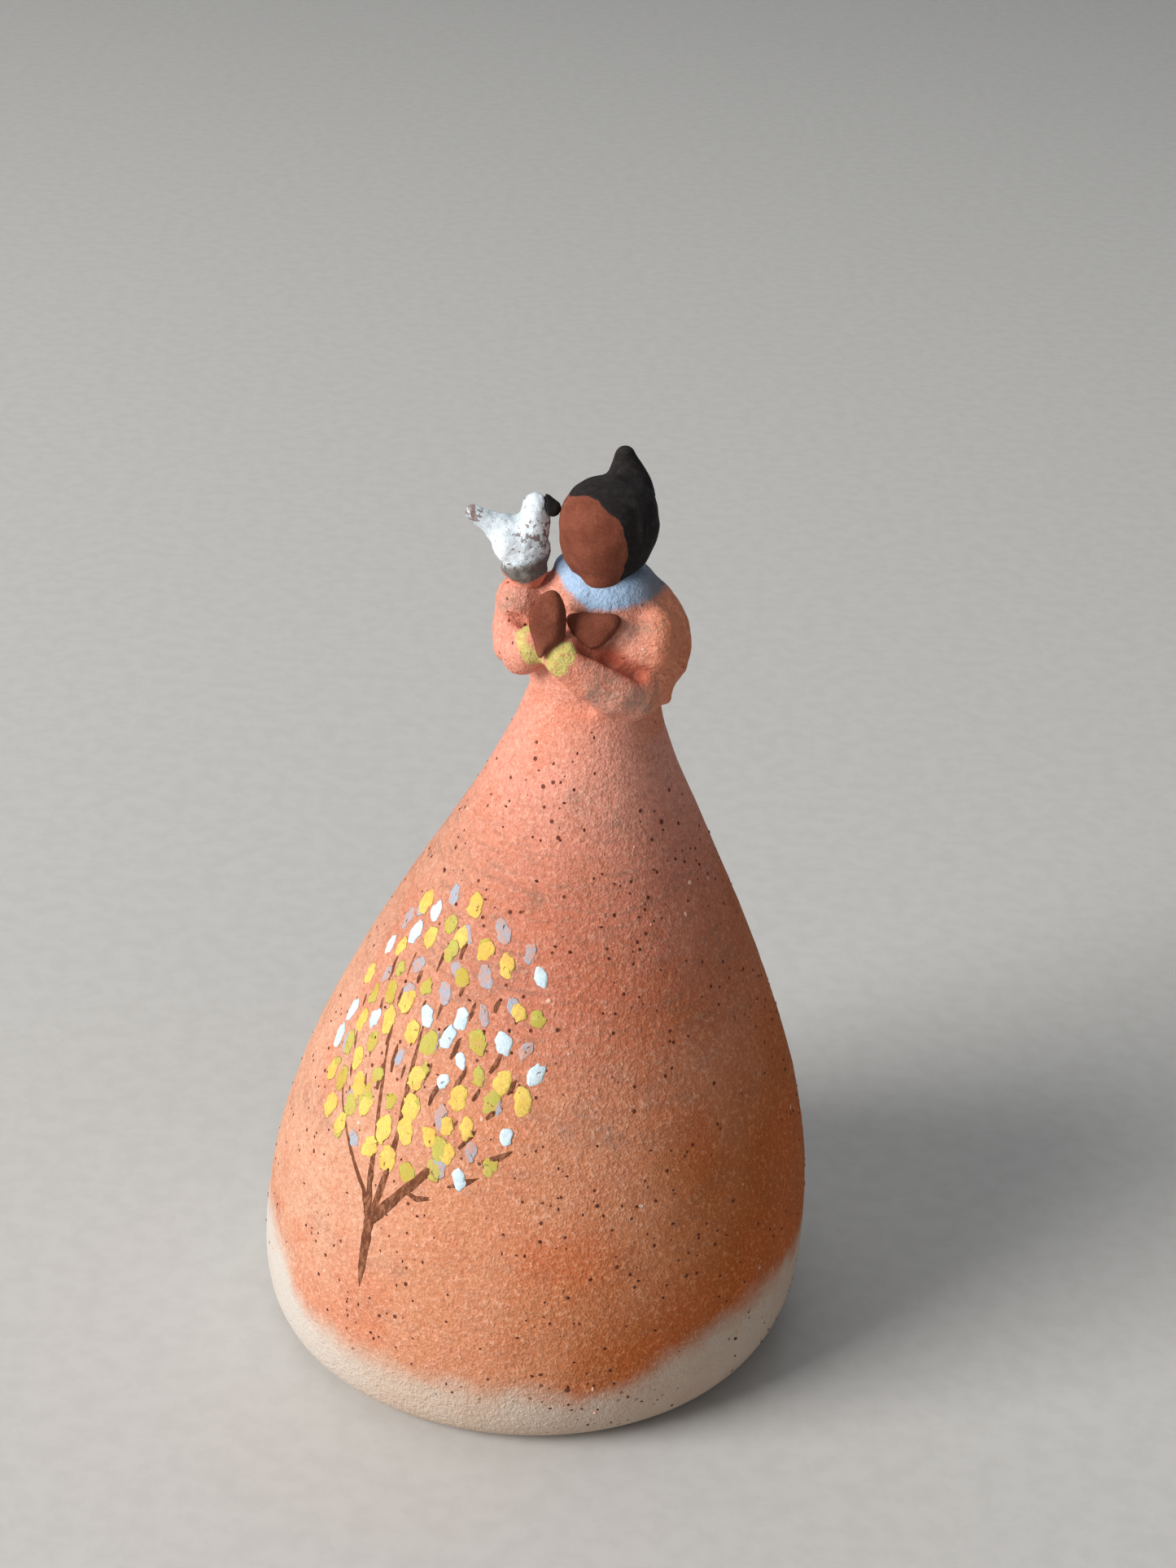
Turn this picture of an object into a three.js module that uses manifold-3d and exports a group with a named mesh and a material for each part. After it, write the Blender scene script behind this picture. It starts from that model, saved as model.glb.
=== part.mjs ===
// A hand-built clay doll: a hollow bell-shaped skirt that stands on its open foot, a bodice
// lump with crossed arms and hands, a collar, a faceless head with hair and a topknot, and a
// bird that perches on the doll's right shoulder. Every lump of clay is its own solid, with
// the thin line of joining slip left open between it and its neighbours.
// Millimetres, +Z up, the doll looks along -Y, and the foot stands on Z = 0.

import * as THREE from "three";
import { mergeVertices } from "three/addons/utils/BufferGeometryUtils.js";
import Module from "manifold-3d";

const wasm = await Module();
wasm.setup();

// ---------------------------------------------------------------- driving dimensions

const SLIP = 0.3; // the slip line between two lumps
const LEAN = 0.0574; // how far the doll leans to its left, per millimetre of height
const WIDEST_Z = 14; // the height at which the skirt is widest, and where the lean pivots
const WALL = 4.3; // the skirt's wall
const WAIST_Z = 96; // the top of the skirt, where the bodice sits
const FOOT_INNER_R = 28.5; // the mouth of the hollow foot
const HOLLOW_TOP_Z = 86; // the top of the hollow inside the skirt
const TENON_R = 4.2; // the peg under the bodice
const TENON_FOOT_Z = 88;
const CHEST_DEPTH = 0.95; // the bodice's depth as a share of its width
const NECK_R = 2.3;
const NECK_Z = [109.2, 116.4]; // the neck peg's foot and top
const CROWN = new THREE.Vector3(-0.9, -1.5, 118.2); // the centre of the head
const LOOK = new THREE.Vector3(-0.56, -0.83, 0).normalize(); // the way the face looks
const HAIRLINE = 2.0; // how far in front of the head's centre the hair ends
const HAIRLINE_TILT = 0.2; // how far that edge tips forward at the crown, in radians
const HAIR = 0.5; // how far the hair stands out from the head
const HAIR_BACK = 0.8; // how far the hair's own centre lies behind the head's
const COLLAR_TILT = 0.1; // how far the collar rises towards the bird, in radians
const FINE_SIDES = 56; // facets round the skirt
const SIDES = 24; // facets round a turned lump
const ROLL_SIDES = 16; // facets round a rolled lump
const ROLL_STEPS = 9; // rings along a rolled lump
const CAP_STEPS = 3; // rings in each of its round ends

// The outside of the skirt, from the foot to the waist, as [radius, height].
const SKIRT_LINE = [
  [31.8, 0],
  [34.4, 1.1],
  [36.3, 3.2],
  [37.6, 7.2],
  [38.1, WIDEST_Z],
  [37.2, 25],
  [34.9, 35],
  [31.8, 44.5],
  [27.6, 54.5],
  [22.6, 65],
  [17.4, 75],
  [12.9, 84],
  [9.9, 91],
  [8.4, WAIST_Z],
];

// The outside of the bodice above the waist.
const BODICE_LINE = [
  [8.3, WAIST_Z + SLIP],
  [8.7, 99],
  [8.7, 103],
  [8.1, 106.8],
  [6.8, 109.8],
  [5.3, 111.6],
  [0, 112.6],
];

// The collar's outside, as if it were solid.
const COLLAR_LINE = [
  [0, 108],
  [7.0, 108.6],
  [7.7, 109.5],
  [7.3, 110.9],
  [6.3, 112.4],
  [5.0, 113.5],
  [3.6, 114.0],
  [0, 114.0],
];

// Half of the head's outline from under the chin to the crown, measured from its centre.
const HEAD_LINE = [
  [0, -6.6],
  [2.0, -6.2],
  [3.6, -5.2],
  [4.9, -3.4],
  [5.7, -1.0],
  [6.0, 1.2],
  [5.7, 3.2],
  [4.9, 5.0],
  [3.3, 6.3],
  [1.6, 6.9],
  [0, 7.0],
];

// Rolled lumps: the points along each one's middle, and its radius at each of them.
const RIGHT_SLEEVE = {
  path: [[-7.0, 0.4, 108.7], [-9.8, -0.4, 107.2], [-10.4, -1.8, 104.4], [-9.7, -4.2, 102.7], [-8.2, -6.6, 104.8]],
  radii: [3.2, 3.5, 3.4, 3.2, 2.8],
};
const LEFT_SLEEVE = {
  path: [[5.4, 0.4, 109.2], [7.7, -0.6, 105.8], [8.2, -2.2, 101.6], [6.7, -4.9, 98.6], [2.0, -7.4, 100.3], [-4.2, -8.7, 104.5]],
  radii: [2.9, 3.6, 4.0, 4.1, 4.0, 3.0],
};
const RIGHT_HAND = {
  path: [[-6.4, -8.3, 106.0], [-3.4, -9.2, 107.4], [-0.8, -9.2, 108.2], [0.9, -8.9, 109.1]],
  radii: [1.7, 2.4, 2.6, 1.4],
  flat: 0.6,
};
const LEFT_HAND = {
  path: [[-7.0, -10.8, 106.5], [-6.6, -11.4, 108.1], [-6.3, -11.0, 110.2], [-6.2, -10.1, 112.4]],
  radii: [1.7, 2.4, 2.1, 0.9],
  flat: 0.6,
};
const HAIR_BUN = {
  path: [[1.6, 2.2, 121.9], [1.3, 2.9, 124.2], [0.8, 3.5, 126.8]],
  radii: [3.6, 2.9, 1.4],
};
const BIRD_FOOT = {
  path: [[-9.9, -0.7, 111.2], [-10.3, -0.7, 113.2]],
  radii: [2.3, 2.8],
};
const BIRD_BODY = {
  path: [[-10.3, -0.6, 114.6], [-10.6, -0.6, 116.4], [-9.9, -0.6, 119.0], [-9.9, -0.6, 121.2]],
  radii: [3.0, 3.1, 2.2, 1.7],
};
const BIRD_TAIL = {
  path: [[-11.0, -0.6, 116.6], [-14.2, -0.6, 118.1], [-17.6, -0.6, 119.9]],
  radii: [2.9, 2.0, 1.0],
  flat: 0.8,
};
const BIRD_BEAK = {
  path: [[-9.0, -0.8, 121.4], [-7.7, -1.0, 121.1]],
  radii: [1.4, 0.9],
};

// ---------------------------------------------------------------- solids

// A closed geometry as a solid: only its positions matter, merged where they meet.
function solid(geometry) {
  const bare = new THREE.BufferGeometry();
  const source = geometry.index ? geometry.toNonIndexed() : geometry;
  bare.setAttribute("position", source.getAttribute("position"));
  const merged = mergeVertices(bare, 1e-4);
  return new wasm.Manifold(
    new wasm.Mesh({
      numProp: 3,
      vertProperties: new Float32Array(merged.attributes.position.array),
      triVerts: new Uint32Array(merged.index.array),
    }),
  );
}

// A solid of revolution about Z. Its line of [radius, height] runs upwards on the outside.
function turned(line, sides, depth = 1) {
  const points = line.map(([r, z]) => new THREE.Vector2(r, z));
  const geometry = new THREE.LatheGeometry(points, sides);
  geometry.rotateX(Math.PI / 2);
  geometry.scale(1, depth, 1);
  return solid(geometry);
}

// A line moved outwards by the slip gap, except where it meets the axis.
function swell(line, by) {
  const last = line.length - 1;
  return line.map(([r, z], i) => {
    const lift = i === 0 ? -by : i === last ? by : 0;
    return [r > 0 ? r + by : 0, z + lift];
  });
}

// The middle, radius and frame of every ring of a rolled lump, round ends included.
function rings({ path, radii }, grow) {
  const curve = new THREE.CatmullRomCurve3(path.map((p) => new THREE.Vector3(...p)), false, "centripetal");
  const spans = radii.length - 1;
  const radiusAt = (t) => {
    const k = Math.min(Math.floor(t * spans), spans - 1);
    return THREE.MathUtils.lerp(radii[k], radii[k + 1], t * spans - k) + grow;
  };
  const made = [];
  const ring = (t, along, share) => {
    const tangent = curve.getTangent(t);
    const centre = curve.getPoint(t).addScaledVector(tangent, along * radiusAt(t));
    made.push({ centre, tangent, radius: radiusAt(t) * share });
  };
  for (let i = 0; i < CAP_STEPS; i++) {
    const a = (i / CAP_STEPS) * (Math.PI / 2);
    ring(0, -Math.cos(a), Math.sin(a));
  }
  for (let i = 0; i <= ROLL_STEPS; i++) ring(i / ROLL_STEPS, 0, 1);
  for (let i = CAP_STEPS - 1; i >= 0; i--) {
    const a = (i / CAP_STEPS) * (Math.PI / 2);
    ring(1, Math.cos(a), Math.sin(a));
  }
  return made;
}

// A lump rolled between the palms: a turned rod with round ends, bent along its path. A flat
// share under 1 squeezes it from front to back.
function rolled(lump, grow = 0) {
  const made = rings(lump, grow);
  const rod = new THREE.LatheGeometry(made.map(({ radius }, i) => new THREE.Vector2(radius, i)), ROLL_SIDES);
  const position = rod.getAttribute("position");
  const front = new THREE.Vector3(0, 1, 0);
  for (let i = 0; i < position.count; i++) {
    const { centre, tangent } = made[i % made.length];
    const thick = front.clone().addScaledVector(tangent, -front.dot(tangent)).normalize();
    const wide = tangent.clone().cross(thick);
    const place = centre
      .clone()
      .addScaledVector(wide, position.getX(i))
      .addScaledVector(thick, position.getZ(i) * (lump.flat ?? 1));
    position.setXYZ(i, place.x, place.y, place.z);
  }
  return solid(rod);
}

// A solid's own main lump, without the crumbs that a cut leaves.
function lump(cut) {
  return cut.decompose().sort((a, b) => b.volume() - a.volume())[0];
}

// ---------------------------------------------------------------- the lumps of the doll

// The hollow skirt: its outside, the flat foot ring, the hollow and the tenon's hole.
function skirtShell() {
  const inside = SKIRT_LINE.slice(3)
    .filter(([, z]) => z < HOLLOW_TOP_Z - 4)
    .map(([r, z]) => [r - WALL, z])
    .reverse();
  const hole = TENON_R + SLIP;
  return turned(
    [[FOOT_INNER_R, 0], ...SKIRT_LINE, [hole, WAIST_Z], [hole, HOLLOW_TOP_Z], ...inside, [FOOT_INNER_R, 0]],
    FINE_SIDES,
  );
}

// The skirt as its neighbours see it: solid, and a slip line bigger.
function skirtForm(grow) {
  return turned([[0, 0], ...SKIRT_LINE.map(([r, z]) => [r + grow, z]), [0, WAIST_Z + grow / 2]], FINE_SIDES);
}

function bodiceForm(grow) {
  const [first, ...rest] = BODICE_LINE;
  const line = [[0, first[1] - grow], [first[0] + grow, first[1] - grow], ...rest.slice(0, -1).map(([r, z]) => [r + grow, z])];
  return turned([...line, [0, rest.at(-1)[1] + grow]], SIDES, CHEST_DEPTH);
}

function tenon() {
  return turned([[0, TENON_FOOT_Z], [TENON_R, TENON_FOOT_Z], [TENON_R, WAIST_Z + 2], [0, WAIST_Z + 2]], SIDES);
}

function neckForm(grow) {
  const [foot, top] = NECK_Z;
  return turned([[0, foot - grow], [NECK_R + grow, foot - grow], [NECK_R + grow, top + grow], [0, top + grow]], SIDES);
}

function collarForm(grow) {
  const [tiltAbout] = NECK_Z;
  const form = turned(swell(COLLAR_LINE.map(([r, z]) => [r, z - tiltAbout]), grow), SIDES, CHEST_DEPTH);
  const tilt = new THREE.Matrix4().makeRotationY(COLLAR_TILT).setPosition(0, 0, tiltAbout);
  return form.transform(tilt.toArray());
}

// The head's egg, about a centre that the hair moves back along the way the doll looks.
function headForm(grow, back = 0) {
  const centre = CROWN.clone().addScaledVector(LOOK, -back);
  return turned(swell(HEAD_LINE, grow), SIDES).translate([centre.x, centre.y, centre.z]);
}

// Everything in front of the hairline: a block tipped back and turned the way the doll looks.
function faceWindow() {
  const reach = 30;
  const block = new THREE.BoxGeometry(reach, reach, reach);
  block.translate(0, -reach / 2 - HAIRLINE, 0);
  block.rotateX(HAIRLINE_TILT);
  block.rotateZ(Math.atan2(LOOK.x, -LOOK.y));
  block.translate(CROWN.x, CROWN.y, CROWN.z);
  return solid(block);
}

const skirt = skirtShell();
const skirtRoom = skirtForm(SLIP);
const bodiceRoom = bodiceForm(SLIP);
const neckRoom = neckForm(SLIP);
const collarRoom = collarForm(SLIP);
const headRoom = headForm(SLIP);
const leftSleeveRoom = rolled(LEFT_SLEEVE, SLIP);
const rightSleeveRoom = rolled(RIGHT_SLEEVE, SLIP);

const bodice = bodiceForm(0).add(tenon()).subtract(neckRoom);
const neck = neckForm(0);
const hair = lump(headForm(HAIR, HAIR_BACK).subtract(headRoom).subtract(faceWindow()).subtract(collarRoom));
const collar = lump(collarForm(0).subtract(bodiceRoom).subtract(neckRoom).subtract(headRoom));
const leftSleeve = lump(rolled(LEFT_SLEEVE).subtract(bodiceRoom).subtract(skirtRoom).subtract(collarRoom));
const rightSleeve = lump(
  rolled(RIGHT_SLEEVE).subtract(bodiceRoom).subtract(skirtRoom).subtract(collarRoom).subtract(leftSleeveRoom),
);
const rightHand = lump(
  rolled(RIGHT_HAND).subtract(bodiceRoom).subtract(rightSleeveRoom).subtract(leftSleeveRoom).subtract(collarRoom),
);
const leftHand = lump(
  rolled(LEFT_HAND).subtract(rolled(RIGHT_HAND, SLIP)).subtract(leftSleeveRoom).subtract(rightSleeveRoom),
);
const head = headForm(0).subtract(neckRoom).subtract(bodiceRoom);
const bun = lump(rolled(HAIR_BUN).subtract(headForm(HAIR + SLIP, HAIR_BACK)));
const birdFoot = lump(rolled(BIRD_FOOT).subtract(bodiceRoom).subtract(rightSleeveRoom).subtract(collarRoom).subtract(headRoom));
const birdBody = lump(rolled(BIRD_BODY).subtract(rolled(BIRD_FOOT, SLIP)));
const birdTail = lump(rolled(BIRD_TAIL).subtract(rolled(BIRD_BODY, SLIP)).subtract(rolled(BIRD_FOOT, SLIP)));
const birdBeak = lump(rolled(BIRD_BEAK).subtract(rolled(BIRD_BODY, SLIP)));

// ---------------------------------------------------------------- the assembly

// Each fired slip colour: what it is painted with, and how matt it is.
const FINISHES = {
  coral: { color: 0xd9764f, roughness: 0.9 },
  blue: { color: 0x8fa0b4, roughness: 0.9 },
  brown: { color: 0x6b3120, roughness: 0.85 },
  black: { color: 0x1d1719, roughness: 0.8 },
  white: { color: 0xdcd8d0, roughness: 0.85 },
  grey: { color: 0x5a4f47, roughness: 0.9 },
};

const PIECES = [
  ["skirt", skirt, "coral"],
  ["bodice", bodice, "coral"],
  ["right_sleeve", rightSleeve, "coral"],
  ["left_sleeve", leftSleeve, "coral"],
  ["right_hand", rightHand, "brown"],
  ["left_hand", leftHand, "brown"],
  ["collar", collar, "blue"],
  ["neck", neck, "brown"],
  ["head", head, "brown"],
  ["hair", hair, "black"],
  ["hair_bun", bun, "black"],
  ["bird_foot", birdFoot, "grey"],
  ["bird_body", birdBody, "white"],
  ["bird_tail", birdTail, "white"],
  ["bird_beak", birdBeak, "black"],
];

// A solid as a mesh of the doll, leaned with the rest of it.
function piece(name, made, finish) {
  const { vertProperties, triVerts } = made.getMesh();
  const geometry = new THREE.BufferGeometry();
  geometry.setAttribute("position", new THREE.BufferAttribute(vertProperties, 3));
  geometry.setIndex(new THREE.BufferAttribute(triVerts, 1));
  const lean = new THREE.Matrix4().set(1, 0, LEAN, -LEAN * WIDEST_Z, 0, 1, 0, 0, 0, 0, 1, 0, 0, 0, 0, 1);
  geometry.applyMatrix4(lean);
  geometry.computeVertexNormals();
  const material = new THREE.MeshStandardMaterial({ ...FINISHES[finish], metalness: 0 });
  const mesh = new THREE.Mesh(geometry, material);
  mesh.name = name;
  return mesh;
}

const doll = new THREE.Group();
for (const [name, made, finish] of PIECES) doll.add(piece(name, made, finish));

export default doll;
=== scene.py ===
"""Looks of a hand-built clay doll: a bell skirt painted with a tree of life, crossed arms and a bird."""

import logging
import math
import random
from dataclasses import dataclass, field
from enum import Enum
from typing import Callable, Iterable, Mapping, Sequence

import bmesh
import bpy
import numpy as np
from mathutils import Matrix, Vector, noise
from mathutils.bvhtree import BVHTree


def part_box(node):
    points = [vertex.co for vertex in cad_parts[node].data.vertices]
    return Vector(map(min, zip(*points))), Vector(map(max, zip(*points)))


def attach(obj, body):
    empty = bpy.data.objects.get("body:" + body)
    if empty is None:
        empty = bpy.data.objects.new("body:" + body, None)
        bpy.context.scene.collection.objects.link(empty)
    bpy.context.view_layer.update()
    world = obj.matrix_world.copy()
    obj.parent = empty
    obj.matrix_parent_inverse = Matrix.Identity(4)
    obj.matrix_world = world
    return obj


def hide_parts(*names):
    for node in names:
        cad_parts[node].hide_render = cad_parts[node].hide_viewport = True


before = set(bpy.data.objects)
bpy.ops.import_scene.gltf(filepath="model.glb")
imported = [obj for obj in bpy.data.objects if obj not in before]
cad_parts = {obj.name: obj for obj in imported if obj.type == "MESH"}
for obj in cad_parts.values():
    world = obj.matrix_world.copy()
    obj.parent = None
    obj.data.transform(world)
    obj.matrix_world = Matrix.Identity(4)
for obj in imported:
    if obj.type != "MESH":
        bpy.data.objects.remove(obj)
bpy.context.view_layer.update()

LOG = logging.getLogger("clay_doll")
MM = 0.001
ROOT = "root"
LEAN = 0.0574  # how far the doll leans to its left for each unit of height
WIDEST = 14 * MM  # the height about which it leans

Colour = tuple[float, float, float]


def column(z: float) -> float:
    """The x of the doll's leaning middle line at height z.

    Args:
        z: A height in metres.

    Returns:
        The x of the line at that height.
    """
    return LEAN * (z - WIDEST)


def spot(x: float, y: float, z: float) -> Vector:
    """A place on the upright doll, moved to where the lean puts it.

    Args:
        x: Millimetres to the doll's left of its middle line.
        y: Millimetres behind the middle line.
        z: Millimetres above the foot.

    Returns:
        The place in metres.
    """
    return Vector((x * MM + column(z * MM), y * MM, z * MM))


def ease(value: float, low: float, high: float) -> float:
    """A smooth step from 0 at low to 1 at high.

    Args:
        value: The number to place between the two.
        low: Where the step starts.
        high: Where it ends.

    Returns:
        A number from 0 to 1.
    """
    t = min(max((value - low) / (high - low), 0.0), 1.0)
    return t * t * (3 - 2 * t)


# ---- node graphs


class Sock:
    """A node's output that can be used in sums: each operator adds a Math node."""

    def __init__(self, graph: "Graph", node: bpy.types.Node, key: int | str = 0) -> None:
        """Wraps one output of a node, by number or name."""
        self.graph, self.node, self.key = graph, node, key

    def out(self, key: int | str) -> "Sock":
        """Another output of the same node."""
        return Sock(self.graph, self.node, key)

    def _math(self, operation: str, *values: object) -> "Sock":
        """Adds one Math node on the values."""
        return self.graph.node("ShaderNodeMath", dict(enumerate(values)), operation=operation)

    def __add__(self, other: object) -> "Sock":
        """Sum."""
        return self._math("ADD", self, other)

    def __sub__(self, other: object) -> "Sock":
        """Difference."""
        return self._math("SUBTRACT", self, other)

    def __mul__(self, other: object) -> "Sock":
        """Product."""
        return self._math("MULTIPLY", self, other)

    def __rsub__(self, other: object) -> "Sock":
        """A value less this one."""
        return self._math("SUBTRACT", other, self)

    __radd__ = __add__
    __rmul__ = __mul__

    def fold(self, operation: str, other: object = 0.0) -> "Sock":
        """Any other Math operation, by its name."""
        return self._math(operation, self, other)

    def step(self, low: float, high: float) -> "Sock":
        """A smooth step from 0 at low to 1 at high.

        Args:
            low: Where the step starts.
            high: Where it ends; below low for a falling step.

        Returns:
            A number from 0 to 1.
        """
        flip = high < low
        ends = {1: min(low, high), 2: max(low, high), 3: float(flip), 4: float(not flip)}
        return self.graph.node("ShaderNodeMapRange", {0: self, **ends}, interpolation_type="SMOOTHSTEP")


class Graph:
    """A node tree and the one way to add a node to it."""

    def __init__(self, tree: bpy.types.NodeTree) -> None:
        """Starts on an empty tree."""
        self.tree = tree
        tree.nodes.clear()

    def node(self, kind: str, inputs: Mapping[int | str, object] | None = None, **settings: object) -> Sock:
        """Adds a node.

        Args:
            kind: The node's type.
            inputs: What its sockets get, by number or name: a value or a Sock.
            settings: Its own settings, which are set first.

        Returns:
            The node's first output.
        """
        made = self.tree.nodes.new(kind)
        for key, value in settings.items():
            setattr(made, key, value)
        for key, value in (inputs or {}).items():
            if isinstance(value, Sock):
                self.tree.links.new(value.node.outputs[value.key], made.inputs[key])
            else:
                made.inputs[key].default_value = value
        return Sock(self, made)

    def vector(self, operation: str, *values: object) -> Sock:
        """A Vector Math node's vector result."""
        return self.node("ShaderNodeVectorMath", dict(enumerate(values)), operation=operation)

    def number(self, operation: str, *values: object) -> Sock:
        """A Vector Math node's number result."""
        return self.vector(operation, *values).out("Value")

    def length(self, value: Sock) -> Sock:
        """A vector's length."""
        return self.number("LENGTH", value)

    def scale(self, value: object, factor: object) -> Sock:
        """A vector times a number."""
        return self.node("ShaderNodeVectorMath", {0: value, "Scale": factor}, operation="SCALE")

    def split(self, value: Sock) -> tuple[Sock, Sock, Sock]:
        """A vector's three numbers."""
        parts = self.node("ShaderNodeSeparateXYZ", {0: value})
        return parts, parts.out(1), parts.out(2)

    def join(self, *parts: object) -> Sock:
        """A vector of three numbers."""
        return self.node("ShaderNodeCombineXYZ", dict(enumerate(parts)))

    def mix(self, share: object, first: object, second: object) -> Sock:
        """Two colours mixed.

        Args:
            share: How much of the second shows, from 0 to 1.
            first: A colour, as three numbers or a Sock.
            second: The other colour.

        Returns:
            The mixed colour.
        """
        ends = {k: v if isinstance(v, Sock) else (*v, 1.0) for k, v in ((6, first), (7, second))}
        return self.node("ShaderNodeMix", {0: share, **ends}, data_type="RGBA").out(2)

    def noise(self, where: Sock, scale: float, detail: float = 3.0, rough: float = 0.55) -> Sock:
        """Soft noise over a place.

        Args:
            where: The place, in millimetres.
            scale: Features in each millimetre.
            detail: How many finer layers it has.
            rough: How strong those are.

        Returns:
            A number about 0.5.
        """
        inputs = {"Vector": where, "Scale": scale, "Detail": detail, "Roughness": rough}
        return self.node("ShaderNodeTexNoise", inputs)

    def off_line(self, where: Sock, start: Vector, end: Vector) -> Sock:
        """How far a place is from a straight line between two points.

        Args:
            where: The place, in millimetres.
            start: One end of the line, in metres.
            end: The other end.

        Returns:
            The distance in millimetres.
        """
        axis = (end - start) / MM
        span = self.vector("SUBTRACT", where, tuple(start / MM))
        along = self.number("DOT_PRODUCT", span, tuple(axis)) * (1 / axis.length_squared)
        share = along.fold("MAXIMUM", 0.0).fold("MINIMUM", 1.0)
        return self.length(self.vector("SUBTRACT", span, self.scale(tuple(axis), share)))

    def dots(self, where: Sock, spacing: float, size: float, share: object) -> Sock:
        """Small round dots strewn at random.

        Args:
            where: The place, in millimetres.
            spacing: The mean distance between cells that may hold a dot.
            size: The largest dot's radius.
            share: The share of the cells that hold one.

        Returns:
            1 inside a dot, 0 outside it.
        """
        cell = self.node("ShaderNodeTexVoronoi", {"Vector": where, "Scale": 1 / spacing})
        pick = self.node("ShaderNodeSeparateColor", {0: cell.out("Color")})
        held = (share - pick.out(0)).step(0.0, 0.02)
        radius = pick.out(1) * (size / spacing * 0.7) + size / spacing * 0.3
        return held * (radius - cell.out("Distance")).step(0.0, 0.12 * size / spacing + 0.02)


# ---- finishes


@dataclass(frozen=True)
class Finish:
    """A fired clay surface. Subclasses paint over the plain one."""

    name: str
    slot: str
    colour: Colour
    shade: Colour
    grain: float = 0.16
    tooth: float = 0.05
    roughness: float = 0.88

    def paint(self, graph: Graph, at: Sock) -> tuple[Sock, Sock]:
        """The colour, and how far the surface stands out in millimetres.

        Args:
            graph: The material's graph.
            at: The place, in millimetres.

        Returns:
            The colour and the height.
        """
        mottle = graph.noise(at, 0.28, 4.0, 0.6)
        sand = graph.noise(at, 3.4, 2.0, 0.6)
        base = graph.mix(mottle.step(0.36, 0.66), self.colour, self.shade)
        lit = tuple(min(1.0, c * 1.7 + 0.05) for c in self.colour)
        dim = tuple(c * 0.5 for c in self.shade)
        base = graph.mix(sand.step(0.56, 0.78) * self.grain * 2.2, base, lit)
        base = graph.mix(sand.step(0.46, 0.24) * self.grain * 2.4, base, dim)
        return base, sand * self.tooth + mottle * (self.tooth * 1.5)

    def material(self) -> bpy.types.Material:
        """The finish as a material."""
        label = self.name + "_fired"
        known = bpy.data.materials.get(label)
        if known:
            return known
        made = bpy.data.materials.new(label)
        made.use_nodes = True
        graph = Graph(made.node_tree)
        place = graph.node("ShaderNodeTexCoord").out("Object")
        at = graph.vector("MULTIPLY", place, (1 / MM,) * 3)
        colour, height = self.paint(graph, at)
        bump = graph.node("ShaderNodeBump", {"Strength": 1.0, "Distance": MM, "Height": height})
        shader = graph.node(
            "ShaderNodeBsdfPrincipled",
            {
                "Base Color": colour,
                "Roughness": self.roughness,
                "Normal": bump.out("Normal"),
                "Specular IOR Level": 0.25,
            },
        )
        graph.node("ShaderNodeOutputMaterial", {"Surface": shader})
        return made


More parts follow.
